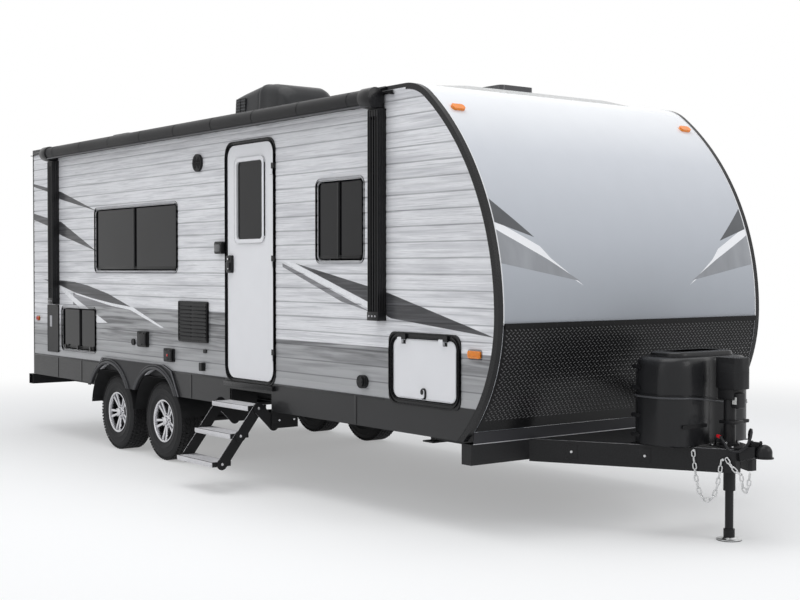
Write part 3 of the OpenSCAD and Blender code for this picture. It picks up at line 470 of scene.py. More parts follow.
def carve(shape, other, way):
    """Boolean of two closed shapes; the first comes back changed and the second is used up."""
    pair = []
    for source in (shape, other):
        mesh = bpy.data.meshes.new("carving")
        source.to_mesh(mesh)
        source.free()
        pair.append(bpy.data.objects.new("carving", mesh))
        scene.collection.objects.link(pair[-1])
    tool = pair[0].modifiers.new("carve", "BOOLEAN")
    tool.object = pair[1]
    tool.operation = way
    tool.solver = "EXACT"
    carved = bpy.data.meshes.new_from_object(pair[0].evaluated_get(bpy.context.evaluated_depsgraph_get()))
    done = bmesh.new()
    done.from_mesh(carved)
    for used in pair:
        mesh = used.data
        bpy.data.objects.remove(used)
        bpy.data.meshes.remove(mesh)
    bpy.data.meshes.remove(carved)
    return done


def wall_cutter(node):
    """The wall's own outline and holes, thickened outwards, so that it trims whatever covers it."""
    shape = bmesh.new()
    shape.from_mesh(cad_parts[node].data)
    bmesh.ops.remove_doubles(shape, verts=shape.verts, dist=0.00005)
    middle = sum(v.co.y for v in shape.verts) / len(shape.verts)
    side = 1 if middle > 0 else -1
    for v in shape.verts:
        v.co.y = side * (abs(WALL_Y) + (0.02 if abs(v.co.y) > abs(middle) else 0.00005))
    return shape


def prism(shape, outline, low, high, flat="Y"):
    """Adds a closed prism over an outline: along Y from points (x, z), or along X from points (y, z)."""
    spots = [(x, low, z) if flat == "Y" else (low, x, z) for x, z in outline]
    end = shape.faces.new([shape.verts.new(spot) for spot in spots])
    made = bmesh.ops.extrude_face_region(shape, geom=[end])["geom"]
    moved = [g for g in made if isinstance(g, bmesh.types.BMVert)]
    bmesh.ops.translate(shape, vec=(0, high - low, 0) if flat == "Y" else (high - low, 0, 0), verts=moved)
    faces = {f for v in moved for f in v.link_faces} | {end}
    bmesh.ops.recalc_face_normals(shape, faces=list(faces))


def wall_sheet(side, lift=0.0001):
    """The ribbed sheet of one side, trimmed to its wall."""
    shape = ribbed_sheet(WALL_NOSE - WALL_BACK + 0.1, SKIRT_TOP, ROOF_EDGE, lift)
    bmesh.ops.translate(shape, vec=(WALL_BACK - 0.05, WALL_Y, 0), verts=shape.verts)
    if side > 0:
        bmesh.ops.scale(shape, vec=(1, -1, 1), verts=shape.verts)
        bmesh.ops.reverse_faces(shape, faces=shape.faces)
    return carve(shape, wall_cutter("side_wall_left" if side > 0 else "side_wall_right"), "INTERSECT")


# Stripes: each is an outline on the side of the caravan as (distance behind the foremost point, height)
DARK_BLADES = [
    [(7.014, 1.940), (6.600, 1.875), (6.330, 1.828), (5.533, 1.618), (6.330, 1.755), (6.600, 1.835),
        (7.014, 1.912)],
    [(7.014, 1.642), (6.645, 1.584), (6.331, 1.539), (5.537, 1.248), (6.333, 1.410), (6.646, 1.508),
    (7.014, 1.580)],
    [(6.770, 0.982), (6.340, 0.974), (6.030, 0.962), (5.723, 0.930), (5.300, 0.862), (4.838, 0.752),
     (5.211, 0.776), (5.640, 0.815), (6.016, 0.862), (6.340, 0.922)],
    [(2.187, 1.125), (1.265, 0.963), (1.074, 0.927), (0.028, 0.676), (1.043, 0.762), (1.074, 0.771),
    (1.265, 0.855)],
]
GREY_BLADES = [
    [(2.359, 1.126), (2.188, 1.077), (1.265, 0.797), (1.610, 0.861), (2.359, 1.100)],
    [(6.060, 0.858), (5.211, 0.762), (4.860, 0.742), (6.060, 0.7425)],
]
WHITE_BLADES = [
    [(2.340, 1.142), (2.200, 1.124), (1.265, 0.852), (1.265, 0.812), (2.188, 1.084)],
    [(6.016, 0.860), (5.211, 0.776), (4.800, 0.750), (4.219, 0.589), (4.279, 0.590), (4.850, 0.725),
     (5.211, 0.750), (6.016, 0.846)],
    [(6.340, 0.920), (5.849, 0.758), (5.309, 0.596), (5.526, 0.589), (5.900, 0.715), (6.340, 0.880)],
]
NOSE_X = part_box("front_wall")[1].x
for side, hand in ((-1, "right"), (1, "left")):
    settle(f"siding_{hand}", wall_sheet(side), sheet_print, crease=8)
    for lift, colour, blades, paint in ((0.0003, "grey", GREY_BLADES, stripe_grey),
                                        (0.0005, "white", WHITE_BLADES, stripe_white),
                                        (0.0007, "charcoal", DARK_BLADES, stripe_dark)):
        stencil = bmesh.new()
        for blade in blades:
            prism(stencil, [(NOSE_X - x, z) for x, z in blade], side * 1.18, side * 1.25)
        settle(f"stripes_{colour}_{hand}", carve(wall_sheet(side, lift), stencil, "INTERSECT"), paint,
               crease=8)

rear_sheet = ribbed_sheet(2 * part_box("rear_wall")[1].y, SKIRT_TOP - 0.04, ROOF_EDGE - 0.02, 0.0)
bmesh.ops.rotate(rear_sheet, matrix=Matrix.Rotation(math.radians(-90), 3, "Z"), verts=rear_sheet.verts)
bmesh.ops.translate(rear_sheet, vec=(WALL_BACK - 0.0005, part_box("rear_wall")[1].y, 0),
    verts=rear_sheet.verts)
settle("siding_rear", rear_sheet, rear_print, crease=8)

# ---------------------------------------------------------------- nose skin
# One sheet of gloss white fibreglass bent over the nose, with painted shade darkening it from white at the top
# to grey below, and a pair of chevrons.
# A white bead closes it against the black mouldings at both edges.

NOSE_CENTRE, NOSE_RADIUS = Vector((-2.76, 0, 0.80)), 1.78
CORNER_CENTRE, CORNER_RADIUS = Vector((-1.871, 0, 1.920)), 0.35
NOSE_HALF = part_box("front_rock_guard")[1].y + 0.006
GUARD_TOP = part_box("front_rock_guard")[1].z
meet = math.atan2(CORNER_CENTRE.z - NOSE_CENTRE.z, CORNER_CENTRE.x - NOSE_CENTRE.x)
start = math.asin((GUARD_TOP - NOSE_CENTRE.z - 0.01) / NOSE_RADIUS)


def nose_sheet(half, lift, thick=0.001, low=start, columns=2):
    """The bent sheet, as wide as twice half, lifted off the front wall."""
    shape = bmesh.new()
    edge = [shape.verts.new(NOSE_CENTRE + Vector(((NOSE_RADIUS + lift) * math.cos(low),
        -half + 2 * half * k / columns,
                                                   (NOSE_RADIUS + lift) * math.sin(low))))
            for k in range(columns + 1)]
    line = edge + [shape.edges.new(pair) for pair in zip(edge, edge[1:])]
    upper = bmesh.ops.spin(shape, geom=line, cent=NOSE_CENTRE, axis=(0, -1, 0), angle=meet - low, steps=90)
    bmesh.ops.spin(shape, geom=upper["geom_last"], cent=CORNER_CENTRE, axis=(0, -1, 0),
        angle=math.pi / 2 - meet,
                   steps=30)
    bmesh.ops.recalc_face_normals(shape, faces=shape.faces)
    if max(shape.faces, key=lambda f: f.calc_center_median().x).normal.x < 0:
        bmesh.ops.reverse_faces(shape, faces=shape.faces)
    bmesh.ops.solidify(shape, geom=shape.faces[:], thickness=-thick)
    bmesh.ops.recalc_face_normals(shape, faces=shape.faces)
    return shape


nose_shaded_paint = surface("nose_gloss_painted_shade", (0.86, 0.87, 0.89), 0.2, grain=6, vary=0.015, bump=0.0001, coat=0.5)
net = nose_shaded_paint.node_tree
height = net.nodes.new("ShaderNodeSeparateXYZ")
place = net.nodes.new("ShaderNodeTexCoord")
net.links.new(place.outputs["Object"], height.inputs[0])
# Painted shade: the colour falls from near white at the roof edge to grey at the guard, where the nose turns
# down away from the light; the front wall gets the same paint.
climb = net.nodes.new("ShaderNodeMapRange")
climb.inputs["From Min"].default_value = GUARD_TOP
climb.inputs["From Max"].default_value = ROOF_EDGE
net.links.new(height.outputs["Z"], climb.inputs["Value"])
fade = net.nodes.new("ShaderNodeValToRGB")
for k, (spot, colour) in enumerate(((0.0, (0.40, 0.42, 0.45, 1)), (0.35, (0.58, 0.60, 0.635, 1)),
                                    (0.7, (0.72, 0.735, 0.765, 1)), (1.0, (0.86, 0.865, 0.88, 1)))):
    stop = fade.color_ramp.elements[k] if k in (0,) else fade.color_ramp.elements.new(spot)
    stop.position = spot
    stop.color = colour
fade.color_ramp.elements.remove(fade.color_ramp.elements[-1])
net.links.new(climb.outputs[0], fade.inputs["Fac"])
nose_painted_shade = net.nodes.new("ShaderNodeMix")
nose_painted_shade.data_type = "RGBA"
nose_painted_shade.blend_type = "MULTIPLY"
nose_painted_shade.inputs["Factor"].default_value = 1
net.links.new(fade.outputs["Color"], nose_painted_shade.inputs["A"])
net.links.new(net.nodes["tone"].outputs["Color"], nose_painted_shade.inputs["B"])
net.links.new(nose_painted_shade.outputs["Result"], net.nodes["Principled BSDF"].inputs["Base Color"])
settle("nose_skin", nose_sheet(NOSE_HALF, 0.001), nose_shaded_paint, crease=40)
dress(nose_shaded_paint, "front_wall")

# Chevrons on the nose, as outlines of (distance from the middle, height)
NOSE_STRIPES = {
    "white": ([(1.195, 1.380), (0.836, 1.222), (0.760, 1.150), (0.500, 0.980), (0.800, 1.130),
        (1.195, 1.325)],
              surface("chevron_white", (0.93, 0.93, 0.95), 0.2, grain=60, vary=0.02, coat=0.5)),
    "grey": ([(1.195, 1.322), (0.791, 1.145), (0.528, 1.009), (1.195, 1.119)],
             surface("chevron_grey", (0.30, 0.31, 0.33), 0.22, grain=8, stretch=(1, 1, 0.3), vary=0.18,
             coat=0.5)),
    "charcoal": ([(1.195, 1.513), (0.871, 1.278), (1.195, 1.366)],
                 surface("chevron_charcoal", (0.085, 0.09, 0.098), 0.22, grain=8, vary=0.15, coat=0.5)),
}
for k, (colour, (outline, paint)) in enumerate(NOSE_STRIPES.items()):
    stencil = bmesh.new()
    for side in (-1, 1):
        prism(stencil, [(side * min(y, NOSE_HALF - 0.0005), z) for y, z in outline], -1.6, -0.9, flat="X")
    settle(f"chevrons_{colour}", carve(nose_sheet(NOSE_HALF - 0.0004, 0.0011 + 0.0002 * k), stencil,
        "INTERSECT"),
           paint, crease=40)

bead_shape = nose_sheet(0.004, 0.0022, thick=0.002)
bmesh.ops.translate(bead_shape, vec=(0, -NOSE_HALF + 0.003, 0), verts=bead_shape.verts)
mirrored(bead_shape)
settle("nose_beads", bead_shape, surface("bead_white", (0.82, 0.82, 0.83), 0.3, grain=90, vary=0.04),
       crease=40)

# ---------------------------------------------------------------- rock guard
# Black tread plate that shields the lower nose, under a plain top rail with screws.
# The raised lozenges are pressed into the sheet in alternate directions; they get a lighter black than the
# plate as a painted highlight on their raised tops.

GUARD_CENTRE = Vector((-2.06, 0, 0.80))
GUARD_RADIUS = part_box("front_rock_guard")[1].x - 0.012 - GUARD_CENTRE.x
CELL = 0.034
plate_paint = surface("tread_plate_black", (0.006, 0.006, 0.0065), 0.30, grain=140, vary=0.3, bump=0.0002,
    specular=0.14)
dress(plate_paint, "front_rock_guard")
lozenges = bmesh.new()
for slant, shift in ((34, 0.0), (-34, 0.5)):
    made = bmesh.ops.create_cone(lozenges, cap_ends=True, segments=6, radius1=1, radius2=0.45,
        depth=1)["verts"]
    bmesh.ops.scale(lozenges, vec=(0.0145, 0.0052, 0.0030), verts=made)
    bmesh.ops.rotate(lozenges, matrix=Matrix.Rotation(math.radians(slant), 3, "Z"), verts=made)
    bmesh.ops.translate(lozenges, vec=(shift * CELL, shift * CELL, 0.0008), verts=made)
columns = int(2 * NOSE_HALF / CELL) - 1
rows = 18


def repeat(shape, count, step):
    """Repeats a shape in a row by doubling it."""
    done = 1
    while done < count:
        more = min(done, count - done)
        share = len(shape.faces) // done * more
        shape.faces.ensure_lookup_table()
        faces = shape.faces[:share]
        verts = list({v for f in faces for v in f.verts})
        edges = list({e for f in faces for e in f.edges})
        copy = bmesh.ops.duplicate(shape, geom=verts + edges + faces)["geom"]
        bmesh.ops.translate(shape, vec=Vector(step) * done,
            verts=[g for g in copy if isinstance(g, bmesh.types.BMVert)])
        done += more


repeat(lozenges, columns, (CELL, 0, 0))
repeat(lozenges, rows, (0, CELL, 0))
for v in lozenges.verts:
    along, down, proud = v.co
    turn = 0.075 + down / GUARD_RADIUS
    v.co = GUARD_CENTRE + Vector(((GUARD_RADIUS + proud) * math.cos(turn),
        along - (columns - 0.5) * CELL / 2,
                                  -(GUARD_RADIUS + proud) * math.sin(turn)))
bmesh.ops.recalc_face_normals(lozenges, faces=lozenges.faces)
# Painted highlight: the lozenges' lighter black stands in for light catching their raised tops.
lozenge_highlight_paint = surface("lozenge_black_painted_highlight", (0.05, 0.05, 0.052), 0.26, grain=200, vary=0.3, specular=0.8)
settle("guard_lozenges", lozenges, lozenge_highlight_paint, crease=20)

# ---------------------------------------------------------------- chassis, drawbar and mouldings
# Welded steel rails, axles and brackets in semi-gloss black paint, under a black plastic floor sheet.
# Aluminium mouldings screwed over the corners of the body, and a white rubber sheet over the roof.

BLACK = (0.013, 0.013, 0.014)
steel_paint = surface("black_steel_paint", BLACK, 0.36, grain=120, vary=0.35, bump=0.0004)
moulding_paint = surface("moulding_black", (0.010, 0.010, 0.011), 0.28, grain=160, vary=0.25, coat=0.1)
under_sheet = surface("underside_sheet", (0.02, 0.02, 0.021), 0.6, grain=18, vary=0.3, bump=0.002)
roof_rubber = surface("roof_membrane", (0.78, 0.78, 0.77), 0.55, grain=30, vary=0.06, bump=0.0008)
dress(steel_paint, "chassis_frame", "tongue_frame", "coupler", "rear_bumper", "axles", "leaf_springs",
      "stabiliser_mounts", "step_bracket", "step_links_upper", "step_links_middle", "step_links_lower",
      "stabiliser_front_right", "stabiliser_front_left", "stabiliser_rear_right", "stabiliser_rear_left")
dress(moulding_paint, "edge_trims", "door_frame", "hatch_frames", "awning_arms")
dress(under_sheet, "floor_deck")
dress(roof_rubber, "roof")
dress(rear_print, "rear_wall", "side_wall_right", "side_wall_left")

# Screw heads along the guard's top rail
screws = bmesh.new()


def screw_head(shape, spot, way, radius=0.006, height=0.003):
    """A low domed head, standing on a face that points along way."""
    rod(shape, spot, Vector(spot) + Vector(way) * height, radius, sides=8, radius_end=radius * 0.6)


for k in range(24):
    y = -NOSE_HALF + 0.03 + k * (2 * NOSE_HALF - 0.06) / 23
    spot = GUARD_CENTRE + Vector((math.cos(0.053) * (GUARD_RADIUS + 0.0118), 0,
        -math.sin(0.053) * GUARD_RADIUS))
    screw_head(screws, (spot.x, y, GUARD_TOP - 0.016), (1, 0, 0), 0.0045, 0.0025)
settle("guard_screws", screws, steel_paint)

# Drip rail along both roof edges, with a spout at each end
gutter = bmesh.new()
roof_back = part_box("roof")[0].x
roof_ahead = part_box("roof")[1].x
block(gutter, (roof_back + 0.02, WALL_Y - 0.0145, ROOF_EDGE - 0.050),
    (roof_ahead - 0.12, WALL_Y - 0.0045, ROOF_EDGE - 0.046))
block(gutter, (roof_back + 0.02, WALL_Y - 0.0145, ROOF_EDGE - 0.050),
    (roof_ahead - 0.12, WALL_Y - 0.0115, ROOF_EDGE - 0.026))
for x in (roof_back + 0.03, roof_ahead - 0.13):
    block(gutter, (x - 0.012, WALL_Y - 0.036, ROOF_EDGE - 0.056),
        (x + 0.012, WALL_Y - 0.006, ROOF_EDGE - 0.050))
soften(gutter, 0.0012, segments=1)
mirrored(gutter)
settle("drip_rails", gutter, moulding_paint)

# Lap seams of the roof sheet, sealed with a raised bead along the roof
seams = bmesh.new()
roof_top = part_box("roof")[1].z
for y in (-0.32, 0.32):
    block(seams, (roof_back + 0.1, y - 0.012, roof_top), (roof_ahead - 0.1, y + 0.012, roof_top + 0.002))
soften(seams, 0.0008, segments=1)
settle("roof_seams", seams, roof_rubber)

# ---------------------------------------------------------------- skirts and fenders
# Flat charcoal aluminium skirts, butted with narrow cover strips, and moulded fender trims with a rounded
# lip
# along each wheel arch and a pale edge where the slanted ends meet the skirt.

skirt_paint = surface("skirt_charcoal", (0.020, 0.020, 0.021), 0.40, grain=40, stretch=(0.3, 1, 3),
    vary=0.14,
                      bump=0.0003, coat=0.2)
fender_paint = surface("fender_charcoal", (0.024, 0.024, 0.026), 0.46, grain=220, vary=0.2, bump=0.0004)
lip_paint = surface("fender_lip", (0.06, 0.06, 0.064), 0.36, grain=220, vary=0.15, bump=0.0003)
dress(skirt_paint, "skirts")
dress(fender_paint, "fender_trims")
SKIRT_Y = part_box("skirts")[0].y
SKIRT_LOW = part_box("skirts")[0].z
FENDER_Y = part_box("fender_trims")[0].y
AXLES = [(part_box(f"tyre_{end}_right")[0].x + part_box(f"tyre_{end}_right")[1].x) / 2 for end in ("rear",
    "front")]
ARCH_Z, ARCH_R = -0.19, 0.42
lips = bmesh.new()
for x in AXLES:
    for grow, size in ((0.013, 0.0125), (0.036, 0.007)):
        ring = bmesh.ops.create_circle(lips, segments=12, radius=size,
                                       matrix=Matrix.Translation((x + ARCH_R + grow, FENDER_Y + 0.004,
                                       ARCH_Z)))["verts"]
        line = ring + list({e for v in ring for e in v.link_edges})
        bmesh.ops.spin(lips, geom=line, cent=(x, 0, ARCH_Z), axis=(0, -1, 0), angle=math.pi, steps=56)
bmesh.ops.holes_fill(lips, edges=lips.edges, sides=12)
bmesh.ops.recalc_face_normals(lips, faces=lips.faces)
# Each arch ends where the next begins, and above the skirt's lower edge
keep = bmesh.new()
middle_x = sum(AXLES) / 2
for low_x, high_x in ((AXLES[0] - 0.50, middle_x - 0.0006), (middle_x + 0.0006, AXLES[1] + 0.50)):
    block(keep, (low_x, FENDER_Y - 0.1, SKIRT_LOW + 0.002), (high_x, FENDER_Y + 0.1, 0.5))
lips = carve(lips, keep, "INTERSECT")
mirrored(lips)
settle("fender_lips", lips, lip_paint)

edges = bmesh.new()
slopes = [((AXLES[0] - 0.395, SKIRT_LOW), (AXLES[0] - 0.130, SKIRT_TOP + 0.045)),
          ((AXLES[0] - 0.130, SKIRT_TOP + 0.045), (AXLES[1] + 0.150, SKIRT_TOP + 0.045)),
          ((AXLES[1] + 0.150, SKIRT_TOP + 0.045), (AXLES[1] + 0.300, SKIRT_TOP)),
          ((AXLES[1] + 0.300, SKIRT_TOP), (AXLES[1] + 0.430, SKIRT_LOW))]
for (x0, z0), (x1, z1) in slopes:
    rod(edges, (x0, FENDER_Y + 0.0015, z0), (x1, FENDER_Y + 0.0015, z1), 0.004, sides=10)
mirrored(edges)
settle("fender_edges", edges, surface("fender_edge", (0.16, 0.16, 0.17), 0.3, grain=200, vary=0.15))

# Black plastic liners over the tyres, closing the arches from the floor down
liners = bmesh.new()
LINER_TOP = SKIRT_TOP - 0.073
reach = math.asin((LINER_TOP - ARCH_Z) / (ARCH_R + 0.008))
for x in AXLES:
    for start in (0.10, math.pi - reach):
        first = [liners.verts.new((x + (ARCH_R + 0.008) * math.cos(start), y,
            ARCH_Z + (ARCH_R + 0.008) * math.sin(start)))
                 for y in (WALL_Y + 0.012, -0.80)]
        line = first + [liners.edges.new(first)]
        bmesh.ops.spin(liners, geom=line, cent=(x, 0, ARCH_Z), axis=(0, -1, 0), angle=reach - 0.10,
            steps=14)
    block(liners, (x - 0.27, WALL_Y + 0.012, LINER_TOP - 0.002), (x + 0.27, -0.80, LINER_TOP))
mirrored(liners)
bmesh.ops.recalc_face_normals(liners, faces=liners.faces)
settle("arch_liners", liners, under_sheet)

strips = bmesh.new()
for x in (-2.42, AXLES[1] + 0.62, AXLES[0] - 0.62, -7.40):
    block(strips, (x - 0.012, SKIRT_Y - 0.0035, SKIRT_LOW + 0.004),
        (x + 0.012, SKIRT_Y + 0.001, SKIRT_TOP - 0.004))
block(strips, (WALL_BACK + 0.02, SKIRT_Y - 0.003, SKIRT_TOP - 0.012),
    (AXLES[0] - 0.17, SKIRT_Y + 0.001, SKIRT_TOP))
block(strips, (AXLES[1] + 0.31, SKIRT_Y - 0.003, SKIRT_TOP - 0.012), (-4.18, SKIRT_Y + 0.001, SKIRT_TOP))
block(strips, (-3.40, SKIRT_Y - 0.003, SKIRT_TOP - 0.012), (-2.10, SKIRT_Y + 0.001, SKIRT_TOP))
soften(strips, 0.0012)
mirrored(strips)
settle("skirt_strips", strips, skirt_paint)

# ---------------------------------------------------------------- windows
# Frameless sliding windows of dark tinted glass in black powder-coated rings with a raised inner ridge.
# Each is clamped through the wall; the berth window by the floor has three clips along its sill.

glass = surface("tinted_glass", (0.008, 0.008, 0.009), 0.03, grain=3, vary=0.3, bump=0.0, specular=0.22)
frame_coat = surface("frame_powder_coat", (0.009, 0.009, 0.010), 0.30, grain=240, vary=0.25, bump=0.0002,
    coat=0.1)
rubber = surface("window_rubber", (0.008, 0.008, 0.009), 0.55, grain=180, vary=0.3, bump=0.0003)
dress(glass, "window_panes")


def ring(shape, middle, size, radius, band, back, front, bevel, steps=6):
    """A rounded frame on the entrance wall, its band inwards from its outer size, from y back to y front."""
    outline = [shape.verts.new((middle[0] + u, back, middle[1] + v)) for u,
        v in rounded_outline(*size, radius, steps)]
    whole = shape.faces.new(outline)
    rim = bmesh.ops.inset_region(shape, faces=[whole], thickness=band, use_even_offset=True,
                                 use_boundary=True)["faces"]
    bmesh.ops.delete(shape, geom=[whole], context="FACES")
    made = bmesh.ops.extrude_face_region(shape, geom=rim)["geom"]
    moved = [g for g in made if isinstance(g, bmesh.types.BMVert)]
    bmesh.ops.translate(shape, vec=(0, front - back, 0), verts=moved)
    near = {f for v in moved for f in v.link_faces} | set(rim)
    bmesh.ops.recalc_face_normals(shape, faces=list(near))
    verts = {v for f in near for v in f.verts}
    soften(shape, bevel, verts=verts, angle=50)


def panel(shape, middle, size, radius, back, front, bevel, steps=5):
    """A rounded plate on the entrance wall, from y back to y front, its outer edge bevelled."""
    face = shape.faces.new([shape.verts.new((middle[0] + u, back, middle[1] + v))
                            for u, v in rounded_outline(*size, radius, steps)])
    made = bmesh.ops.extrude_face_region(shape, geom=[face])["geom"]
    moved = [g for g in made if isinstance(g, bmesh.types.BMVert)]
    bmesh.ops.translate(shape, vec=(0, front - back, 0), verts=moved)
    near = {f for v in moved for f in v.link_faces} | {face}
    bmesh.ops.recalc_face_normals(shape, faces=list(near))
    if bevel:
        rim = [e for e in shape.edges if e.verts[0] in moved and e.verts[1] in moved]
        bmesh.ops.bevel(shape, geom=rim, offset=bevel, offset_type="OFFSET", affect="EDGES", segments=2,
                        profile=0.5, material=-1, clamp_overlap=True)


def on_other_side(shape):
    """Mirrors a whole shape to the side away from the entrance."""
    bmesh.ops.scale(shape, vec=(1, -1, 1), verts=shape.verts)
    bmesh.ops.reverse_faces(shape, faces=shape.faces)


# Windows: middle, size, offset of the upright bar, and side, all read off the wall
WINDOWS = {
    "lounge": ((-5.745, 1.3475), (1.610, 0.595), 0.0, -1),
    "bedroom": ((-2.610, 1.417), (0.580, 0.590), -0.015, -1),
    "berth": ((-6.915, 0.517), (0.780, 0.430), 0.02, -1),
    "lounge_left": ((-5.680, 1.230), (1.200, 0.560), 0.0, 1),
    "bedroom_left": ((-2.880, 1.330), (0.760, 0.560), 0.0, 1),
    "rear_left": ((-7.000, 1.200), (0.600, 0.500), 0.0, 1),
}
WINDOW_R = 0.055
stood_for = False
for name, (middle, size, bar, side) in WINDOWS.items():
    shape = bmesh.new()
    width, tall = size
    ring(shape, middle, size, WINDOW_R, 0.020, WALL_Y + 0.002, WALL_Y - 0.010, 0.004)
    ring(shape, middle, (width - 0.030, tall - 0.030), WINDOW_R - 0.015, 0.017, WALL_Y + 0.010,
        WALL_Y - 0.014, 0.004)
    x = middle[0] + bar
    low_z, high_z = middle[1] - tall / 2, middle[1] + tall / 2
    # Fixed pane's edge, sliding sash and the interlock between them
    verts = block(shape, (x - 0.013, WALL_Y - 0.006, low_z + 0.03),
        (x + 0.013, WALL_Y + 0.006, high_z - 0.03))
    soften(shape, 0.003, verts=verts)
    verts = block(shape, (x - 0.004, WALL_Y - 0.009, low_z + 0.03),
        (x + 0.004, WALL_Y - 0.004, high_z - 0.03))
    soften(shape, 0.0015, verts=verts)
    # Sill track with two ridges
    for lift, deep in ((0.036, 0.008), (0.048, 0.005)):
        verts = block(shape, (middle[0] - width / 2 + 0.045, WALL_Y - deep, low_z + lift),
                      (middle[0] + width / 2 - 0.045, WALL_Y + 0.006, low_z + lift + 0.006))
        soften(shape, 0.002, verts=verts)
    if name == "berth":
        for u in (-0.28, 0.0, 0.28):
            verts = block(shape, (middle[0] + u - 0.016, WALL_Y - 0.019, low_z + 0.020),
                          (middle[0] + u + 0.016, WALL_Y - 0.008, low_z + 0.062))
            soften(shape, 0.004, verts=verts)
    if side > 0:
        on_other_side(shape)
    trim = settle(f"window_ring_{name}", shape, frame_coat)
    if not stood_for:
        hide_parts("window_frames")
        stood_for = True
    seal = bmesh.new()
    ring(seal, middle, (width - 0.062, tall - 0.062), WINDOW_R - 0.030, 0.007, WALL_Y + 0.008,
        WALL_Y - 0.003, 0.002)
    if side > 0:
        on_other_side(seal)
    settle(f"window_seal_{name}", seal, rubber)

# ---------------------------------------------------------------- entrance door
# A smooth white laminated leaf in a black double-ridged frame, with a fixed dark window, a flush paddle
# latch
# with a key lock over it, and three hinges on its forward edge.

door_white = surface("door_white", (0.80, 0.80, 0.82), 0.16, grain=5, vary=0.02, bump=0.0002, coat=0.35)
dress(door_white, "entry_door", "hatch_right", "hatch_left")
LEAF_LOW, LEAF_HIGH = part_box("entry_door")
DOOR_MIDDLE = (-3.792, (0.247 + 2.030) / 2)
DOOR_SIZE = (0.665, 1.783)
LEAF_Y = WALL_Y - 0.004
door_surround = bmesh.new()
for grow, band, proud, bevel in ((0.030, 0.024, 0.0125, 0.005), (0.024, 0.007, 0.0185, 0.003),
    (0.011, 0.005, 0.0165, 0.002)):
    ring(door_surround, DOOR_MIDDLE, (DOOR_SIZE[0] + 2 * grow, DOOR_SIZE[1] + 2 * grow), 0.095 + grow, band,
         WALL_Y - 0.004, WALL_Y - proud, bevel, steps=10)
settle("door_surround", door_surround, frame_coat)

DOOR_WINDOW = ((-3.792, 1.605), (0.430, 0.650))
door_trim = bmesh.new()
ring(door_trim, DOOR_WINDOW[0], DOOR_WINDOW[1], 0.050, 0.018, WALL_Y + 0.002, WALL_Y - 0.0155, 0.005,
    steps=8)
ring(door_trim, DOOR_WINDOW[0], (0.400, 0.620), 0.036, 0.016, WALL_Y + 0.006, WALL_Y - 0.0125, 0.004,
    steps=8)
settle("door_window_ring", door_trim, frame_coat, "entry_door")
door_glass = bmesh.new()
panel(door_glass, DOOR_WINDOW[0], (0.368, 0.588), 0.028, WALL_Y + 0.006, WALL_Y + 0.0015, 0.0)
settle("door_window_glass", door_glass, glass, "entry_door")

HANDLE = (-4.0745, 1.122)
handle = bmesh.new()
panel(handle, HANDLE, (0.078, 0.136), 0.014, WALL_Y - 0.002, WALL_Y - 0.028, 0.004)
verts = block(handle, (HANDLE[0] - 0.026, WALL_Y - 0.040, HANDLE[1] - 0.050),
    (HANDLE[0] + 0.026, WALL_Y - 0.026, HANDLE[1] + 0.012))
soften(handle, 0.005, verts=verts, segments=3)
rod(handle, (HANDLE[0], WALL_Y - 0.027, HANDLE[1] + 0.040), (HANDLE[0], WALL_Y - 0.034, HANDLE[1] + 0.040),
    0.013, sides=24)
settle("door_latch", handle, frame_coat, "entry_door")
lock = bmesh.new()
rod(lock, (HANDLE[0], WALL_Y - 0.033, HANDLE[1] + 0.040), (HANDLE[0], WALL_Y - 0.0365, HANDLE[1] + 0.040),
    0.008, sides=24)
rod(lock, (HANDLE[0] + 0.012, WALL_Y - 0.039, HANDLE[1] - 0.036),
    (HANDLE[0] + 0.012, WALL_Y - 0.0415, HANDLE[1] - 0.036), 0.006, sides=16)
settle("door_lock_barrels", lock, surface("lock_chrome", (0.62, 0.62, 0.64), 0.18, metal=1.0, grain=200,
    vary=0.1),
       "entry_door")

hinge_caps = bmesh.new()
for z in (0.247 + 0.160, 0.247 + 1.783 / 2 - 0.040, 0.247 + 1.783 - 0.250):
    x = -3.4565 - 0.03
    verts = block(hinge_caps, (x - 0.030, LEAF_Y - 0.004, z + 0.003),
        (x + 0.016, LEAF_Y + 0.001, z + 0.039))
    soften(hinge_caps, 0.0015, verts=verts)
    for u in (-0.018, 0.002):
        screw_head(hinge_caps, (x + u, LEAF_Y - 0.0035, z + 0.021), (0, -1, 0), 0.004, 0.002)
settle("door_hinge_leaves", hinge_caps, frame_coat, "entry_door")

# Sill plate below the leaf, with three thin ribs along its face
sill = bmesh.new()
verts = block(sill, (-3.792 - 0.355, SKIRT_Y - 0.030, 0.183), (-3.792 + 0.355, SKIRT_Y + 0.002, 0.219))
soften(sill, 0.004)
for z in (0.191, 0.201, 0.211):
    verts = block(sill, (-3.792 - 0.350, SKIRT_Y - 0.0325, z - 0.0022),
        (-3.792 + 0.350, SKIRT_Y - 0.028, z + 0.0022))
    soften(sill, 0.001, verts=verts)
settle("door_sill", sill, moulding_paint)

# ---------------------------------------------------------------- luggage hatches
# Insulated white lids in thick black double-ridged frames, hinged along the top, with an oval thumb latch.

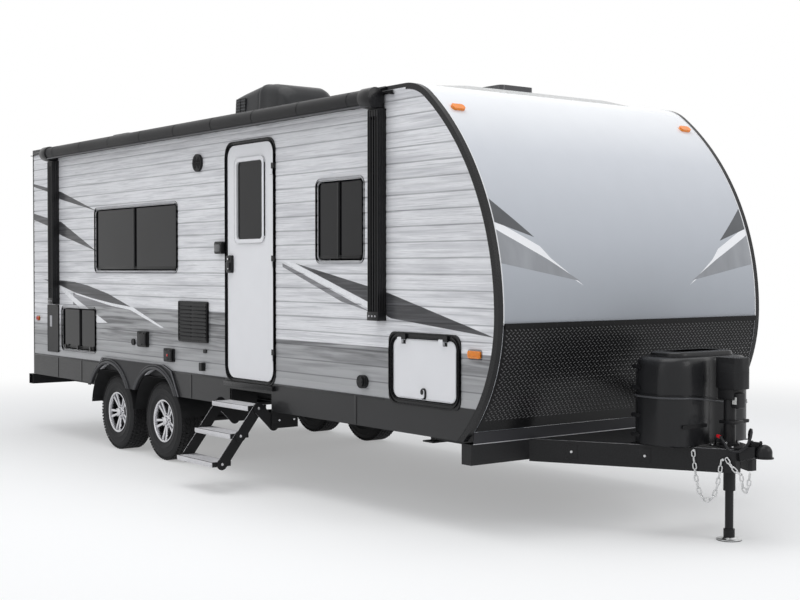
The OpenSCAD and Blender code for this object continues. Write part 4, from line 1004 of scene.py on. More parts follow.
HATCH_MIDDLE = (-1.679, 0.446)
HATCH_SIZE = (0.640, 0.382)
for side, hand in ((-1, "right"), (1, "left")):
    surround = bmesh.new()
    for grow, band, proud, bevel in ((0.0425, 0.036, 0.0135, 0.005), (0.034, 0.010, 0.0195, 0.004),
        (0.014, 0.007, 0.0175, 0.003)):
        ring(surround, HATCH_MIDDLE, (HATCH_SIZE[0] + 2 * grow, HATCH_SIZE[1] + 2 * grow), 0.060 + grow,
            band,
             WALL_Y - 0.004, WALL_Y - proud, bevel, steps=8)
    lid_edge = bmesh.new()
    ring(lid_edge, HATCH_MIDDLE, (HATCH_SIZE[0] - 0.012, HATCH_SIZE[1] - 0.012), 0.052, 0.007,
        LEAF_Y + 0.001,
         LEAF_Y - 0.0022, 0.001, steps=8)
    latch = bmesh.new()
    spot = (HATCH_MIDDLE[0], 0.295)
    panel(latch, spot, (0.046, 0.072), 0.0229, LEAF_Y + 0.001, LEAF_Y - 0.012, 0.004, steps=8)
    panel(latch, (spot[0], spot[1] + 0.012), (0.028, 0.034), 0.0139, LEAF_Y - 0.008, LEAF_Y - 0.0215, 0.004,
        steps=8)
    key = bmesh.new()
    rod(key, (spot[0], LEAF_Y - 0.010, spot[1] - 0.022), (spot[0], LEAF_Y - 0.0155, spot[1] - 0.022),
        0.0075, sides=20)
    leaves = bmesh.new()
    for u in (-0.21, 0.21):
        verts = block(leaves, (HATCH_MIDDLE[0] + u - 0.02, LEAF_Y - 0.0035, 0.604),
            (HATCH_MIDDLE[0] + u + 0.02, LEAF_Y + 0.001, 0.628))
        soften(leaves, 0.0015, verts=verts)
    for shape in (surround, lid_edge, latch, key, leaves):
        if side > 0:
            on_other_side(shape)
    settle(f"hatch_surround_{hand}", surround, frame_coat)
    settle(f"hatch_lid_edge_{hand}", lid_edge, door_white, f"hatch_{hand}")
    settle(f"hatch_latch_{hand}", latch, frame_coat, f"hatch_{hand}")
    settle(f"hatch_key_{hand}", key, bpy.data.materials["lock_chrome"], f"hatch_{hand}")
    settle(f"hatch_hinges_{hand}", leaves, frame_coat, f"hatch_{hand}")

# ---------------------------------------------------------------- wheels
# Black trailer tyres with a five-rib tread and ringed sidewalls, on cast alloy rims: five pairs of split
# spokes machined bright over black pockets, five nuts and a plain cap. Each wheel is bolted to its hub.

tyre_rubber = surface("tyre_rubber", (0.022, 0.022, 0.023), 0.66, grain=260, vary=0.3, bump=0.0005)
bright_alloy = surface("machined_alloy", (0.62, 0.62, 0.64), 0.24, metal=1.0, grain=320,
    stretch=(1, 0.1, 1), vary=0.12,
                       bump=0.0001)
# Black for the rim pockets, also used as painted shade in the roof unit's slots and the gas cover's recesses.
black_pockets_and_painted_shade = surface("black_pockets_and_painted_shade", (0.007, 0.007, 0.008), 0.35, grain=90, vary=0.4)
TYRE_R, TYRE_W, RIM_R = 0.336, 0.205, 0.178
WHEEL_Y, WHEEL_Z = 1.0535, -0.214


def lathe(shape, profile, steps=96):
    """Spins a profile of (radius, y) points about the y axis."""
    verts = [shape.verts.new((r, y, 0)) for r, y in profile]
    line = verts + [shape.edges.new(pair) for pair in zip(verts, verts[1:])]
    bmesh.ops.spin(shape, geom=line, cent=(0, 0, 0), axis=(0, 1, 0), angle=2 * math.pi, steps=steps)
    bmesh.ops.remove_doubles(shape, verts=shape.verts, dist=1e-6)
    bmesh.ops.recalc_face_normals(shape, faces=shape.faces)


half = TYRE_W / 2
tyre_mesh = bmesh.new()
wall = [(RIM_R - 0.004, -half + 0.020), (RIM_R + 0.006, -half + 0.012), (RIM_R + 0.010, -half + 0.008),
        (RIM_R + 0.016, -half + 0.008), (RIM_R + 0.020, -half + 0.005), (RIM_R + 0.045, -half + 0.001),
        (RIM_R + 0.048, -half - 0.001), (RIM_R + 0.054, -half - 0.001), (RIM_R + 0.057, -half + 0.001),
        (RIM_R + 0.092, -half + 0.002), (RIM_R + 0.095, -half), (RIM_R + 0.100, -half),
        (RIM_R + 0.103, -half + 0.003),
        (RIM_R + 0.128, -half + 0.010), (TYRE_R - 0.018, -half + 0.018), (TYRE_R - 0.0085, -half + 0.028)]
crown = [(TYRE_R - 0.0075, -0.04), (TYRE_R - 0.007, 0.0)]
side = wall + crown
lathe(tyre_mesh, side + [(r, -y) for r, y in reversed(side[:-1])] + [side[0]])
tread = bmesh.new()
BLOCKS = 54
for row, (y, wide, skew) in enumerate(((-0.070, 0.024, 0.35), (-0.037, 0.027, 0.28), (0.0, 0.030, -0.28),
                                       (0.037, 0.027, 0.28), (0.070, 0.024, -0.35))):
    for k in range(BLOCKS):
        turn = 2 * math.pi * (k + 0.5 * (row % 2)) / BLOCKS
        place = (Matrix.Rotation(turn, 4, "Y") @ Matrix.Translation((TYRE_R - 0.0052, y, 0))
                 @ Matrix.Rotation(skew, 4, "X"))
        size = Matrix.Diagonal((0.009, wide, 2 * math.pi * TYRE_R / BLOCKS - 0.006, 1))
        bmesh.ops.create_cube(tread, size=1, matrix=place @ size)
for k in range(72):
    turn = 2 * math.pi * k / 72
    for way in (-1, 1):
        place = (Matrix.Rotation(turn, 4,
            "Y") @ Matrix.Translation((TYRE_R - 0.0150, way * (half - 0.0155), 0))
                 @ Matrix.Rotation(way * 0.9, 4, "Z"))
        bmesh.ops.create_cube(tread, size=1, matrix=place @ Matrix.Diagonal((0.017, 0.010, 0.018, 1)))
soften(tread, 0.0014, segments=1, angle=60)
spare = bpy.data.meshes.new("tread_blocks")
tread.to_mesh(spare)
tread.free()
tyre_mesh.from_mesh(spare)
bpy.data.meshes.remove(spare)

rim_mesh = bmesh.new()
lathe(rim_mesh, [(RIM_R, -0.088), (RIM_R + 0.005, -0.092), (RIM_R + 0.004, -0.096), (RIM_R - 0.004,
    -0.0965),
                 (RIM_R - 0.010, -0.093), (RIM_R - 0.014, -0.078), (RIM_R - 0.016, -0.050),
                 (RIM_R - 0.014, 0.080),
                 (RIM_R, 0.088), (RIM_R, -0.088)], 96)
pocket = bmesh.new()
lathe(pocket, [(0.0, -0.040), (0.060, -0.040), (RIM_R - 0.020, -0.030), (RIM_R - 0.0155, -0.060),
    (RIM_R - 0.0145, -0.030),
               (0.060, -0.026), (0.0, -0.026)], 72)
spokes = bmesh.new()


def spoke(shape, turn, near, far, near_wide, far_wide):
    """One tapered arm from the hub to the rim; near and far are sideways shifts at its two ends."""
    ring_points = []
    for r, shift, wide, face, back in ((0.040, near, near_wide, -0.067, -0.040),
        (0.105, (near + far) / 2, (near_wide + far_wide) / 2, -0.0745, -0.046),
                                       (RIM_R - 0.009, far, far_wide, -0.0855, -0.058)):
        ring_points.append([shape.verts.new(c) for c in ((r, face, shift - wide / 2),
            (r, face, shift + wide / 2),
                                                         (r, back, shift + wide / 2 + 0.003),
                                                         (r, back, shift - wide / 2 - 0.003))])
    for a, b in zip(ring_points, ring_points[1:]):
        for k in range(4):
            shape.faces.new((a[k], a[(k + 1) % 4], b[(k + 1) % 4], b[k]))
    shape.faces.new(ring_points[0])
    shape.faces.new(reversed(ring_points[-1]))
    verts = [v for points in ring_points for v in points]
    bmesh.ops.rotate(shape, verts=verts, cent=(0, 0, 0), matrix=Matrix.Rotation(turn, 3, "Y"))
    return verts


for k in range(5):
    turn = math.radians(90 + 5 + 72 * k)
    for way in (-1, 1):
        spoke(spokes, turn, way * 0.011, way * 0.030, 0.017, 0.023)
bmesh.ops.recalc_face_normals(spokes, faces=spokes.faces)
soften(spokes, 0.0018, segments=2, angle=40)
lathe(spokes, [(0.0, -0.071), (0.040, -0.071), (0.047, -0.069), (0.060, -0.0655), (0.064, -0.060), (0.064,
    -0.036),
               (0.0, -0.036)], 60)
lathe(spokes, [(0.0, -0.089), (0.026, -0.0885), (0.032, -0.086), (0.034, -0.081), (0.034, -0.068), (0.0,
    -0.068)], 48)
for k in range(5):
    turn = math.radians(36 + 90 + 5 + 72 * k)
    x, z = 0.0505 * math.cos(turn), -0.0505 * math.sin(turn)
    nut = rod(spokes, (x, -0.066, z), (x, -0.082, z), 0.0088, sides=6, radius_end=0.0078)
    soften(spokes, 0.001, verts=nut, segments=1)
valve = rod(pocket, (RIM_R - 0.03, -0.040, 0), (RIM_R - 0.036, -0.078, 0), 0.004, sides=12)
bmesh.ops.rotate(pocket, verts=valve, cent=(0, 0, 0), matrix=Matrix.Rotation(math.radians(77), 3, "Y"))
for shape in (tyre_mesh, rim_mesh, pocket, spokes):
    shape.verts.ensure_lookup_table()
for k, (end, hand) in enumerate((e, h) for e in ("front", "rear") for h in ("right", "left")):
    body = f"wheel_{end}_{hand}"
    spot = Vector((AXLES[1] if end == "front" else AXLES[0], -WHEEL_Y if hand == "right" else WHEEL_Y,
        WHEEL_Z))
    face = Matrix.Rotation(0 if hand == "right" else math.pi, 4, "Z")
    roll = Matrix.Rotation(math.radians((0, 17, 4, 29)[k]), 4, "Y")
    for source, name, paint, slot in ((tyre_mesh, "tyre", tyre_rubber, "tyre_rubber"),
        (rim_mesh, "rim_barrel", bright_alloy, "alloy"),
                                      (pocket, "rim_pocket", black_pockets_and_painted_shade, "alloy"),
                                      (spokes, "rim_spokes", bright_alloy, "alloy")):
        copy = source.copy()
        bmesh.ops.transform(copy, matrix=Matrix.Translation(spot) @ face @ roll, verts=copy.verts)
        piece = settle(f"{name}_{end}_{hand}_dressed", copy, paint, body, crease=28)
        if name == "tyre":
            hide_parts(f"tyre_{end}_{hand}")
        if name == "rim_spokes":
            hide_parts(f"rim_{end}_{hand}")

# ---------------------------------------------------------------- folding steps
# Extruded aluminium treads with a ribbed face and a gripping nose, riveted into black steel end plates.
# The scissor links are laser-cut plates, pinned with shouldered bolts, with painted highlights as bright rods
# along their edges.

tread_alloy = surface("tread_alloy", (0.60, 0.60, 0.62), 0.36, metal=0.9, grain=160, stretch=(0.2, 1, 1),
    vary=0.15, bump=0.0003)
# Bright metal for bolts, and for thin rods laid along edges as painted highlight.
edge_highlight_and_bolt_metal = surface("edge_highlight_and_bolt_metal", (0.46, 0.46, 0.48), 0.4, metal=0.8, grain=140, vary=0.35, bump=0.0003)
dress(tread_alloy, "step_tread_upper", "step_tread_middle", "step_tread_lower")
STEP_X = -3.792
PINS = [(-1.190, -0.075), (-1.320, 0.058), (-1.470, -0.137), (-1.620, -0.332)]
for level, tier in zip((1, 2, 3), ("upper", "middle", "lower")):
    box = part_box(f"step_tread_{tier}")
    top, front, back = box[1].z, box[0].y, box[1].y
    grip = bmesh.new()
    for k in range(11):
        y = front + 0.020 + k * (back - front - 0.034) / 10
        verts = block(grip, (STEP_X - 0.250, y - 0.0028, top - 0.001),
            (STEP_X + 0.250, y + 0.0028, top + 0.0022))
        soften(grip, 0.0012, verts=verts, segments=1)
    verts = block(grip, (STEP_X - 0.262, front - 0.004, top - 0.030),
        (STEP_X + 0.262, front + 0.004, top + 0.001))
    soften(grip, 0.003, verts=verts)
    for k in range(3):
        verts = block(grip, (STEP_X - 0.256, front - 0.0056, top - 0.0245 + 0.008 * k),
            (STEP_X + 0.256, front - 0.0030, top - 0.0205 + 0.008 * k))
        soften(grip, 0.0009, verts=verts, segments=1)
    settle(f"step_grip_{tier}", grip, tread_alloy, f"step_tread_{tier}")
    gap = bmesh.new()
    block(gap, (STEP_X - 0.258, front + 0.0060, top - 0.0005),
        (STEP_X + 0.258, front + 0.0120, top + 0.0010))
    for way in (-1, 1):
        verts = block(gap, (STEP_X + way * 0.2605 - 0.003, front + 0.004, top - 0.034),
            (STEP_X + way * 0.2605 + 0.003, back - 0.004, top + 0.003))
        soften(gap, 0.0015, verts=verts, segments=1)
    settle(f"step_side_plates_{tier}", gap, steel_paint, f"step_tread_{tier}")
    # Pins at both ends of this tier's links, and painted highlights: bright rods along both long edges of the
    # links
    outer = {"lower": 0.270, "middle": 0.278, "upper": 0.286}[tier]
    pins = bmesh.new()
    rub = bmesh.new()
    start, end = (Vector((0, *PINS[level - 1])), Vector((0, *PINS[level])))
    run = (end - start).normalized()
    up = Vector((0, -run.z, run.y)) if run.y > 0 else Vector((0, run.z, -run.y))
    for way in (-1, 1):
        for spot in (start, end):
            x = STEP_X + way * (outer + 0.0003)
            if tier == "upper" and spot == start:
                continue
            bolt = rod(pins, (x, spot.y, spot.z), (x + way * 0.0045, spot.y, spot.z), 0.011, sides=6)
            soften(pins, 0.001, verts=bolt, segments=1)
        for lift in (0.0405, -0.0405):
            a, b = start + up * lift + run * 0.012, end + up * lift - run * 0.012
            rod(rub, (STEP_X + way * (outer - 0.0025), a.y, a.z),
                (STEP_X + way * (outer - 0.0025), b.y, b.z), 0.0022, sides=8)
    settle(f"step_pins_{tier}", pins, bright_alloy, f"step_links_{tier}")
    settle(f"step_link_edge_highlights_{tier}", rub, edge_highlight_and_bolt_metal, f"step_links_{tier}")
bolts = bmesh.new()
for way in (-1, 1):
    x = STEP_X + way * 0.2962
    for y, z in ((-1.02, 0.12), (-1.10, 0.12), (-1.18, 0.12), (-1.02, -0.04), (-1.15, -0.04)):
        bolt = rod(bolts, (x, y, z), (x + way * 0.006, y, z), 0.009, sides=6)
        soften(bolts, 0.001, verts=bolt, segments=1)
settle("step_bracket_bolts", bolts, bright_alloy)

# ---------------------------------------------------------------- awning
# A black vinyl roll on an aluminium tube below a rail at the roof edge, held by two arms of grooved
# black extrusion that hang on head castings and stand on bolted feet near the skirt.

vinyl = surface("awning_vinyl", (0.012, 0.012, 0.013), 0.46, grain=420, vary=0.2, bump=0.0004)
vinyl_edge = surface("awning_edge_band", (0.11, 0.11, 0.115), 0.4, grain=200, vary=0.2)
dress(vinyl, "awning_roller")
ROLL_LOW, ROLL_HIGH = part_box("awning_roller")
ROLL = ((ROLL_LOW.y + ROLL_HIGH.y) / 2, (ROLL_LOW.z + ROLL_HIGH.z) / 2)
ROLL_R = (ROLL_HIGH.z - ROLL_LOW.z) / 2
roll = bmesh.new()
roll_low, roll_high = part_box("awning_roller")[0].x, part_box("awning_roller")[1].x
for k in range(9):
    x = roll_low + 0.25 + k * (roll_high - roll_low - 0.5) / 8
    turned = bmesh.ops.create_circle(roll, segments=40, radius=ROLL_R + 0.0009,
        matrix=Matrix.Translation((x, *ROLL)) @ Matrix.Rotation(math.pi / 2, 4, "Y"))["verts"]
    hoop = turned + list({e for v in turned for e in v.link_edges})
    made = bmesh.ops.extrude_edge_only(roll,
        edges=[e for e in hoop if isinstance(e, bmesh.types.BMEdge)])["geom"]
    bmesh.ops.translate(roll, vec=(0.010, 0, 0),
        verts=[g for g in made if isinstance(g, bmesh.types.BMVert)])
bmesh.ops.recalc_face_normals(roll, faces=roll.faces)
bmesh.ops.solidify(roll, geom=roll.faces[:], thickness=-0.0010)
settle("awning_seams", roll, vinyl)
hem = bmesh.new()
rod(hem, (roll_low + 0.05, ROLL[0] - 0.030, ROLL[1] - ROLL_R * 0.90),
    (roll_high - 0.05, ROLL[0] - 0.030, ROLL[1] - ROLL_R * 0.90), 0.007, sides=16)
rod(hem, (roll_low + 0.05, ROLL[0] + 0.045, ROLL[1] + ROLL_R * 0.76),
    (roll_high - 0.05, ROLL[0] + 0.045, ROLL[1] + ROLL_R * 0.76), 0.006, sides=12)
settle("awning_hem", hem, vinyl_edge)
rail = bmesh.new()
verts = block(rail, (roll_low - 0.04, WALL_Y - 0.012, ROOF_EDGE - 0.018),
    (roll_high + 0.02, WALL_Y - 0.0045, ROOF_EDGE + 0.006))
soften(rail, 0.003)
rod(rail, (roll_low - 0.04, WALL_Y - 0.014, ROOF_EDGE - 0.006),
    (roll_high + 0.02, WALL_Y - 0.014, ROOF_EDGE - 0.006), 0.006, sides=16)
settle("awning_rail", rail, moulding_paint)
caps = bmesh.new()
for x, way in ((roll_high, 1), (roll_low, -1)):
    rod(caps, (x - way * 0.030, *ROLL), (x + way * 0.010, *ROLL), ROLL_R + 0.006, sides=48)
    rod(caps, (x + way * 0.010, *ROLL), (x + way * 0.018, *ROLL), ROLL_R - 0.014, sides=40)
    for k in range(6):
        turn = math.radians(60 * k)
        spot = (x + way * 0.010, ROLL[0] + 0.055 * math.cos(turn), ROLL[1] + 0.055 * math.sin(turn))
        screw_head(caps, spot, (way, 0, 0), 0.005, 0.003)
soften(caps, 0.002, angle=60, segments=2)
settle("awning_caps", caps, frame_coat)
ARMS = (-2.135, -7.415)
ARM_HALF, ARM_FACE = 0.056, WALL_Y - 0.070
ARM_LOW, ARM_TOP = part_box("awning_arms")[0].z, ROLL[1] - ROLL_R - 0.012
arm_ribs = bmesh.new()
for x in ARMS:
    for u in (-0.0515, -0.028, 0.0, 0.028, 0.0515):
        verts = block(arm_ribs, (x + u - 0.0045, ARM_FACE - 0.004, ARM_LOW + 0.05),
            (x + u + 0.0045, ARM_FACE + 0.003, ARM_TOP - 0.01))
        soften(arm_ribs, 0.0018, verts=verts, segments=1)
    for v in (0.012, 0.034, 0.056):
        verts = block(arm_ribs, (x + ARM_HALF - 0.001, ARM_FACE + v - 0.003, ARM_LOW + 0.02),
            (x + ARM_HALF + 0.003, ARM_FACE + v + 0.003, ARM_TOP - 0.01))
        soften(arm_ribs, 0.0015, verts=verts, segments=1)
    verts = block(arm_ribs, (x - ARM_HALF - 0.004, ARM_FACE - 0.006, ARM_LOW),
        (x + ARM_HALF + 0.004, WALL_Y - 0.006, ARM_LOW + 0.058))
    soften(arm_ribs, 0.003, verts=verts)
    verts = block(arm_ribs, (x - 0.050, ROLL[0] - 0.014, ARM_TOP - 0.004),
        (x + 0.050, WALL_Y - 0.006, ROLL[1] + 0.030))
    soften(arm_ribs, 0.016, verts=verts, segments=3)
    rod(arm_ribs, (x - 0.062, *ROLL), (x + 0.062, *ROLL), ROLL_R + 0.010, sides=48)
    for z in (ARM_TOP + 0.018, ROLL[1] + 0.010):
        screw_head(arm_ribs, (x + 0.049, ROLL[0] + 0.062, z), (1, 0, 0), 0.009, 0.005)
soften(arm_ribs, 0.003, angle=75, segments=2)
settle("awning_arm_ribs", arm_ribs, frame_coat)
arm_bolts = bmesh.new()
for x in ARMS:
    for u in (-0.034, 0.0, 0.034):
        bolt = rod(arm_bolts, (x + u, ARM_FACE - 0.005, ARM_LOW + 0.030),
            (x + u, ARM_FACE - 0.011, ARM_LOW + 0.030), 0.007, sides=6)
        soften(arm_bolts, 0.001, verts=bolt, segments=1)
settle("awning_foot_bolts", arm_bolts, edge_highlight_and_bolt_metal)

# ---------------------------------------------------------------- wall fittings and lamps
# Injection-moulded covers screwed to the siding over a foam gasket: speaker, porch lamp, grilles, sockets.
# Marker lamps have ribbed acrylic lenses that snap onto a black base.

moulded = surface("moulded_black", (0.014, 0.014, 0.015), 0.42, grain=300, vary=0.3, bump=0.0005)
amber = surface("amber_lens", (0.85, 0.24, 0.012), 0.14, grain=40, vary=0.12, coat=0.6)
red = surface("red_lens", (0.46, 0.012, 0.010), 0.14, grain=40, vary=0.12, coat=0.6)
for lens in (amber, red):
    lens.node_tree.nodes["Principled BSDF"].inputs["Subsurface Weight"].default_value = 0.15
    lens.node_tree.nodes["Principled BSDF"].inputs["Subsurface Scale"].default_value = 0.02
dress(moulded, "wall_fittings")
dress(amber, "marker_lamps")


def cover(shape, x, z, width, tall, radius, proud, rim=0.006):
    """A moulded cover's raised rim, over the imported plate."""
    face = WALL_Y - proud
    ring(shape, (x, z), (width, tall), radius, rim, face + 0.006, face - 0.002, 0.0015, steps=5)


FITTINGS = {
    "speaker": (-4.585, 1.935, 0.140, 0.140, 0.0695, 0.022),
    "fridge": (-4.670, 0.658, 0.484, 0.330, 0.016, 0.018),
    "side_panel": (-7.500, 0.505, 0.262, 0.462, 0.010, 0.012),
    "inlet": (-5.550, 0.480, 0.170, 0.136, 0.014, 0.030),
    "socket": (-5.072, 0.367, 0.150, 0.112, 0.014, 0.030),
    "cap": (-2.324, 0.330, 0.100, 0.088, 0.042, 0.030),
    "round": (-5.752, 0.447, 0.056, 0.056, 0.026, 0.016),
}
rims = bmesh.new()
for x, z, width, tall, radius, proud in FITTINGS.values():
    cover(rims, x, z, width, tall, radius, proud)
    if width > 0.12 and radius < 0.05:
        for u in (-1, 1):
            for v in (-1, 1):
                spot = (x + u * (width / 2 - 0.014), WALL_Y - proud, z + v * (tall / 2 - 0.014))
                screw_head(rims, spot, (0, -1, 0), 0.0045, 0.0028)
# Speaker grille: three rings and cross bars
x, z, proud = -4.585, 1.935, 0.022
for r in (0.018, 0.034, 0.050):
    ring(rims, (x, z), (2 * r, 2 * r), r * 0.999, 0.005, WALL_Y - proud + 0.002, WALL_Y - proud - 0.003,
        0.001, steps=7)
for turn in (0, 60, 120):
    a = math.radians(turn)
    rod(rims, (x - 0.055 * math.cos(a), WALL_Y - proud - 0.001, z - 0.055 * math.sin(a)),
        (x + 0.055 * math.cos(a), WALL_Y - proud - 0.001, z + 0.055 * math.sin(a)), 0.0025, sides=8)
# Refrigerator grille: two stacks of slanted slats inside a recessed frame
x, z, proud = -4.670, 0.658, 0.018
for column, wide in ((-0.118, 0.20), (0.118, 0.20)):
    for k in range(9):
        mid = z - 0.122 + k * 0.0305
        verts = block(rims, (x + column - wide / 2, -0.005, -0.0016),
            (x + column + wide / 2, 0.011, 0.0016))
        bmesh.ops.rotate(rims, verts=verts, cent=(0, 0, 0),
            matrix=Matrix.Rotation(math.radians(38), 3, "X"))
        bmesh.ops.translate(rims, vec=(0, WALL_Y - proud - 0.006, mid), verts=verts)
ring(rims, (x, z), (0.452, 0.298), 0.010, 0.006, WALL_Y - proud + 0.003, WALL_Y - proud - 0.004, 0.0012)
# Hinged flap of the socket box and the inlet's cover, each with a finger tab
for name in ("inlet", "socket"):
    x, z, width, tall, radius, proud = FITTINGS[name]
    panel(rims, (x, z), (width - 0.030, tall - 0.030), 0.010, WALL_Y - proud + 0.002,
        WALL_Y - proud - 0.007, 0.0025)
    verts = block(rims, (x - 0.016, WALL_Y - proud - 0.013, z - tall / 2 + 0.018),
        (x + 0.016, WALL_Y - proud - 0.006, z - tall / 2 + 0.026))
    soften(rims, 0.001, verts=verts, segments=1)
    for u in (-0.035, 0.035):
        rod(rims, (x + u - 0.012, WALL_Y - proud - 0.006, z + tall / 2 - 0.016),
            (x + u + 0.012, WALL_Y - proud - 0.006, z + tall / 2 - 0.016), 0.005, sides=12)
x, z, width, tall, radius, proud = FITTINGS["cap"]
rod(rims, (x, WALL_Y - proud + 0.002, z), (x, WALL_Y - proud - 0.012, z), 0.034, sides=40)
verts = block(rims, (x - 0.030, WALL_Y - proud - 0.018, z - 0.005),
    (x + 0.030, WALL_Y - proud - 0.010, z + 0.005))
soften(rims, 0.002, verts=verts)
settle("fitting_covers", rims, moulded)

# Porch lamp: a plain dark grey lens under the black body
porch = bmesh.new()
panel(porch, (-4.218, 1.247), (0.084, 0.060), 0.018, WALL_Y - 0.040, WALL_Y - 0.051, 0.006)
settle("porch_lamp_lens", porch, surface("porch_lens", (0.10, 0.10, 0.105), 0.15, grain=90, vary=0.2,
    coat=0.5))
dots = bmesh.new()
rod(dots, (-5.072, WALL_Y - 0.036, 0.367), (-5.072, WALL_Y - 0.041, 0.367), 0.011, sides=24)
settle("socket_button", dots, red)
patch = bmesh.new()
panel(patch, (-7.545, 0.575), (0.050, 0.110), 0.006, WALL_Y - 0.011, WALL_Y - 0.0145, 0.001)
settle("side_panel_cover", patch, surface("pale_cover", (0.42, 0.42, 0.44), 0.35, grain=80, vary=0.1))

# Lamps: black bases round the amber and red lenses, and moulded ribs across them
bases = bmesh.new()
ribs = {"amber": bmesh.new(), "red": bmesh.new()}
for side, colour, x, z, wide, tall, proud in ((-1, "amber", -1.186, 0.568, 0.116, 0.046, 0.018),
    (-1, "red", -7.876, 0.593, 0.060, 0.040, 0.018),
                                              (1, "amber", -1.186, 0.568, 0.116, 0.046, 0.018),
                                              (1, "red", -7.876, 0.593, 0.060, 0.040, 0.018)):
    base = bmesh.new()
    ring(base, (x, z), (wide + 0.012, tall + 0.012), 0.017, 0.007, WALL_Y + 0.001, WALL_Y - 0.007, 0.0015)
    lens = bmesh.new()
    panel(lens, (x, z), (wide, tall), 0.015, WALL_Y - 0.005, WALL_Y - proud - 0.0015, 0.005)
    count = 9 if colour == "amber" else 5
    for k in range(count):
        u = x - wide / 2 + 0.012 + k * (wide - 0.024) / (count - 1)
        verts = block(lens, (u - 0.0022, WALL_Y - proud - 0.0030, z - tall / 2 + 0.007),
            (u + 0.0022, WALL_Y - proud, z + tall / 2 - 0.007))
        soften(lens, 0.001, verts=verts, segments=1)
    for shape, store in ((base, bases), (lens, ribs[colour])):
        if side > 0:
            on_other_side(shape)
        spare = bpy.data.meshes.new("part")
        shape.to_mesh(spare)
        shape.free()
        store.from_mesh(spare)
        bpy.data.meshes.remove(spare)
settle("lamp_bases", bases, moulded)
settle("lamp_lenses_amber", ribs["amber"], amber)
settle("lamp_lenses_red", ribs["red"], red)

# ---------------------------------------------------------------- roof air conditioner
# A low shroud of black moulded plastic, clipped over a base pan on the roof: a louvred rear half that rises
# to a crest, a raised band where the two halves meet, and a smooth front half that falls away.

shroud_paint = surface("shroud_plastic", (0.016, 0.0165, 0.018), 0.38, grain=300, vary=0.25, bump=0.0005,
    coat=0.1)
UNIT_LOW, UNIT_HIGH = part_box("roof_air_conditioner")
UNIT = Vector(((UNIT_LOW.x + UNIT_HIGH.x) / 2, (UNIT_LOW.y + UNIT_HIGH.y) / 2, UNIT_LOW.z))
UNIT_HALF = (UNIT_HIGH.x - UNIT_LOW.x) / 2
UNIT_WIDE = (UNIT_HIGH.y - UNIT_LOW.y) / 2


def hoops(shape, sections):
    """Skins a run of equal closed outlines, in order, and closes both ends."""
    made = [[shape.verts.new(p) for p in outline] for outline in sections]
    faces = []
    for a, b in zip(made, made[1:]):
        for k in range(len(a)):
            faces.append(shape.faces.new((a[k], a[(k + 1) % len(a)], b[(k + 1) % len(b)], b[k])))
    faces += [shape.faces.new(made[0]), shape.faces.new(reversed(made[-1]))]
    bmesh.ops.recalc_face_normals(shape, faces=faces)
    return [v for outline in made for v in outline]


def arch(u, top, wide, radius, low=0.03):
    """The shroud's outline across the caravan at u from its middle: a box with rounded upper corners."""
    points = [(-wide, low)]
    for k in range(9):
        turn = math.pi - math.pi / 2 * k / 8
        points.append((-wide + 0.012 + radius + radius * math.cos(turn),
            top - radius + radius * math.sin(turn)))
    for k in range(9):
        turn = math.pi / 2 - math.pi / 2 * k / 8
        points.append((wide - 0.012 - radius + radius * math.cos(turn),
            top - radius + radius * math.sin(turn)))
    points.append((wide, low))
    return [(UNIT.x + u, UNIT.y + y, UNIT.z + z) for y, z in points]


shroud = bmesh.new()
hoops(shroud, [arch(u, top, UNIT_WIDE - inset, r) for u, top, inset, r in (
    (-0.392, 0.290, 0.020, 0.050), (-0.385, 0.302, 0.014, 0.060), (-0.28, 0.324, 0.013, 0.07),
    (-0.15, 0.346, 0.012, 0.08),
    (-0.03, 0.366, 0.012, 0.09), (0.030, 0.369, 0.012, 0.09))])
hoops(shroud, [arch(u, top, UNIT_WIDE - inset, r) for u, top, inset, r in (
    (0.028, 0.375, 0.002, 0.095), (0.060, 0.375, 0.002, 0.095), (0.075, 0.370, 0.007, 0.095),
    (0.16, 0.366, 0.010, 0.10),
    (0.26, 0.350, 0.018, 0.11), (0.325, 0.326, 0.034, 0.11), (0.360, 0.296, 0.055, 0.11),
    (0.385, 0.245, 0.080, 0.10),
    (0.400, 0.165, 0.105, 0.07))])
for lift, thick, grow in ((0.0, 0.030, 0.0), (0.038, 0.008, 0.004)):
    outline = rounded_outline(2 * (UNIT_HALF - 0.001 + min(grow, 0)), 2 * (UNIT_WIDE - 0.001), 0.10, 8)
    hoops(shroud, [[(UNIT.x + u, UNIT.y + v, UNIT.z + z) for u, v in outline] for z in (lift,
        lift + thick)])
soften(shroud, 0.003, segments=2, angle=50)
unit = settle("roof_unit_shroud", shroud, shroud_paint, crease=40)
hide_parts("roof_air_conditioner")
blades = bmesh.new()
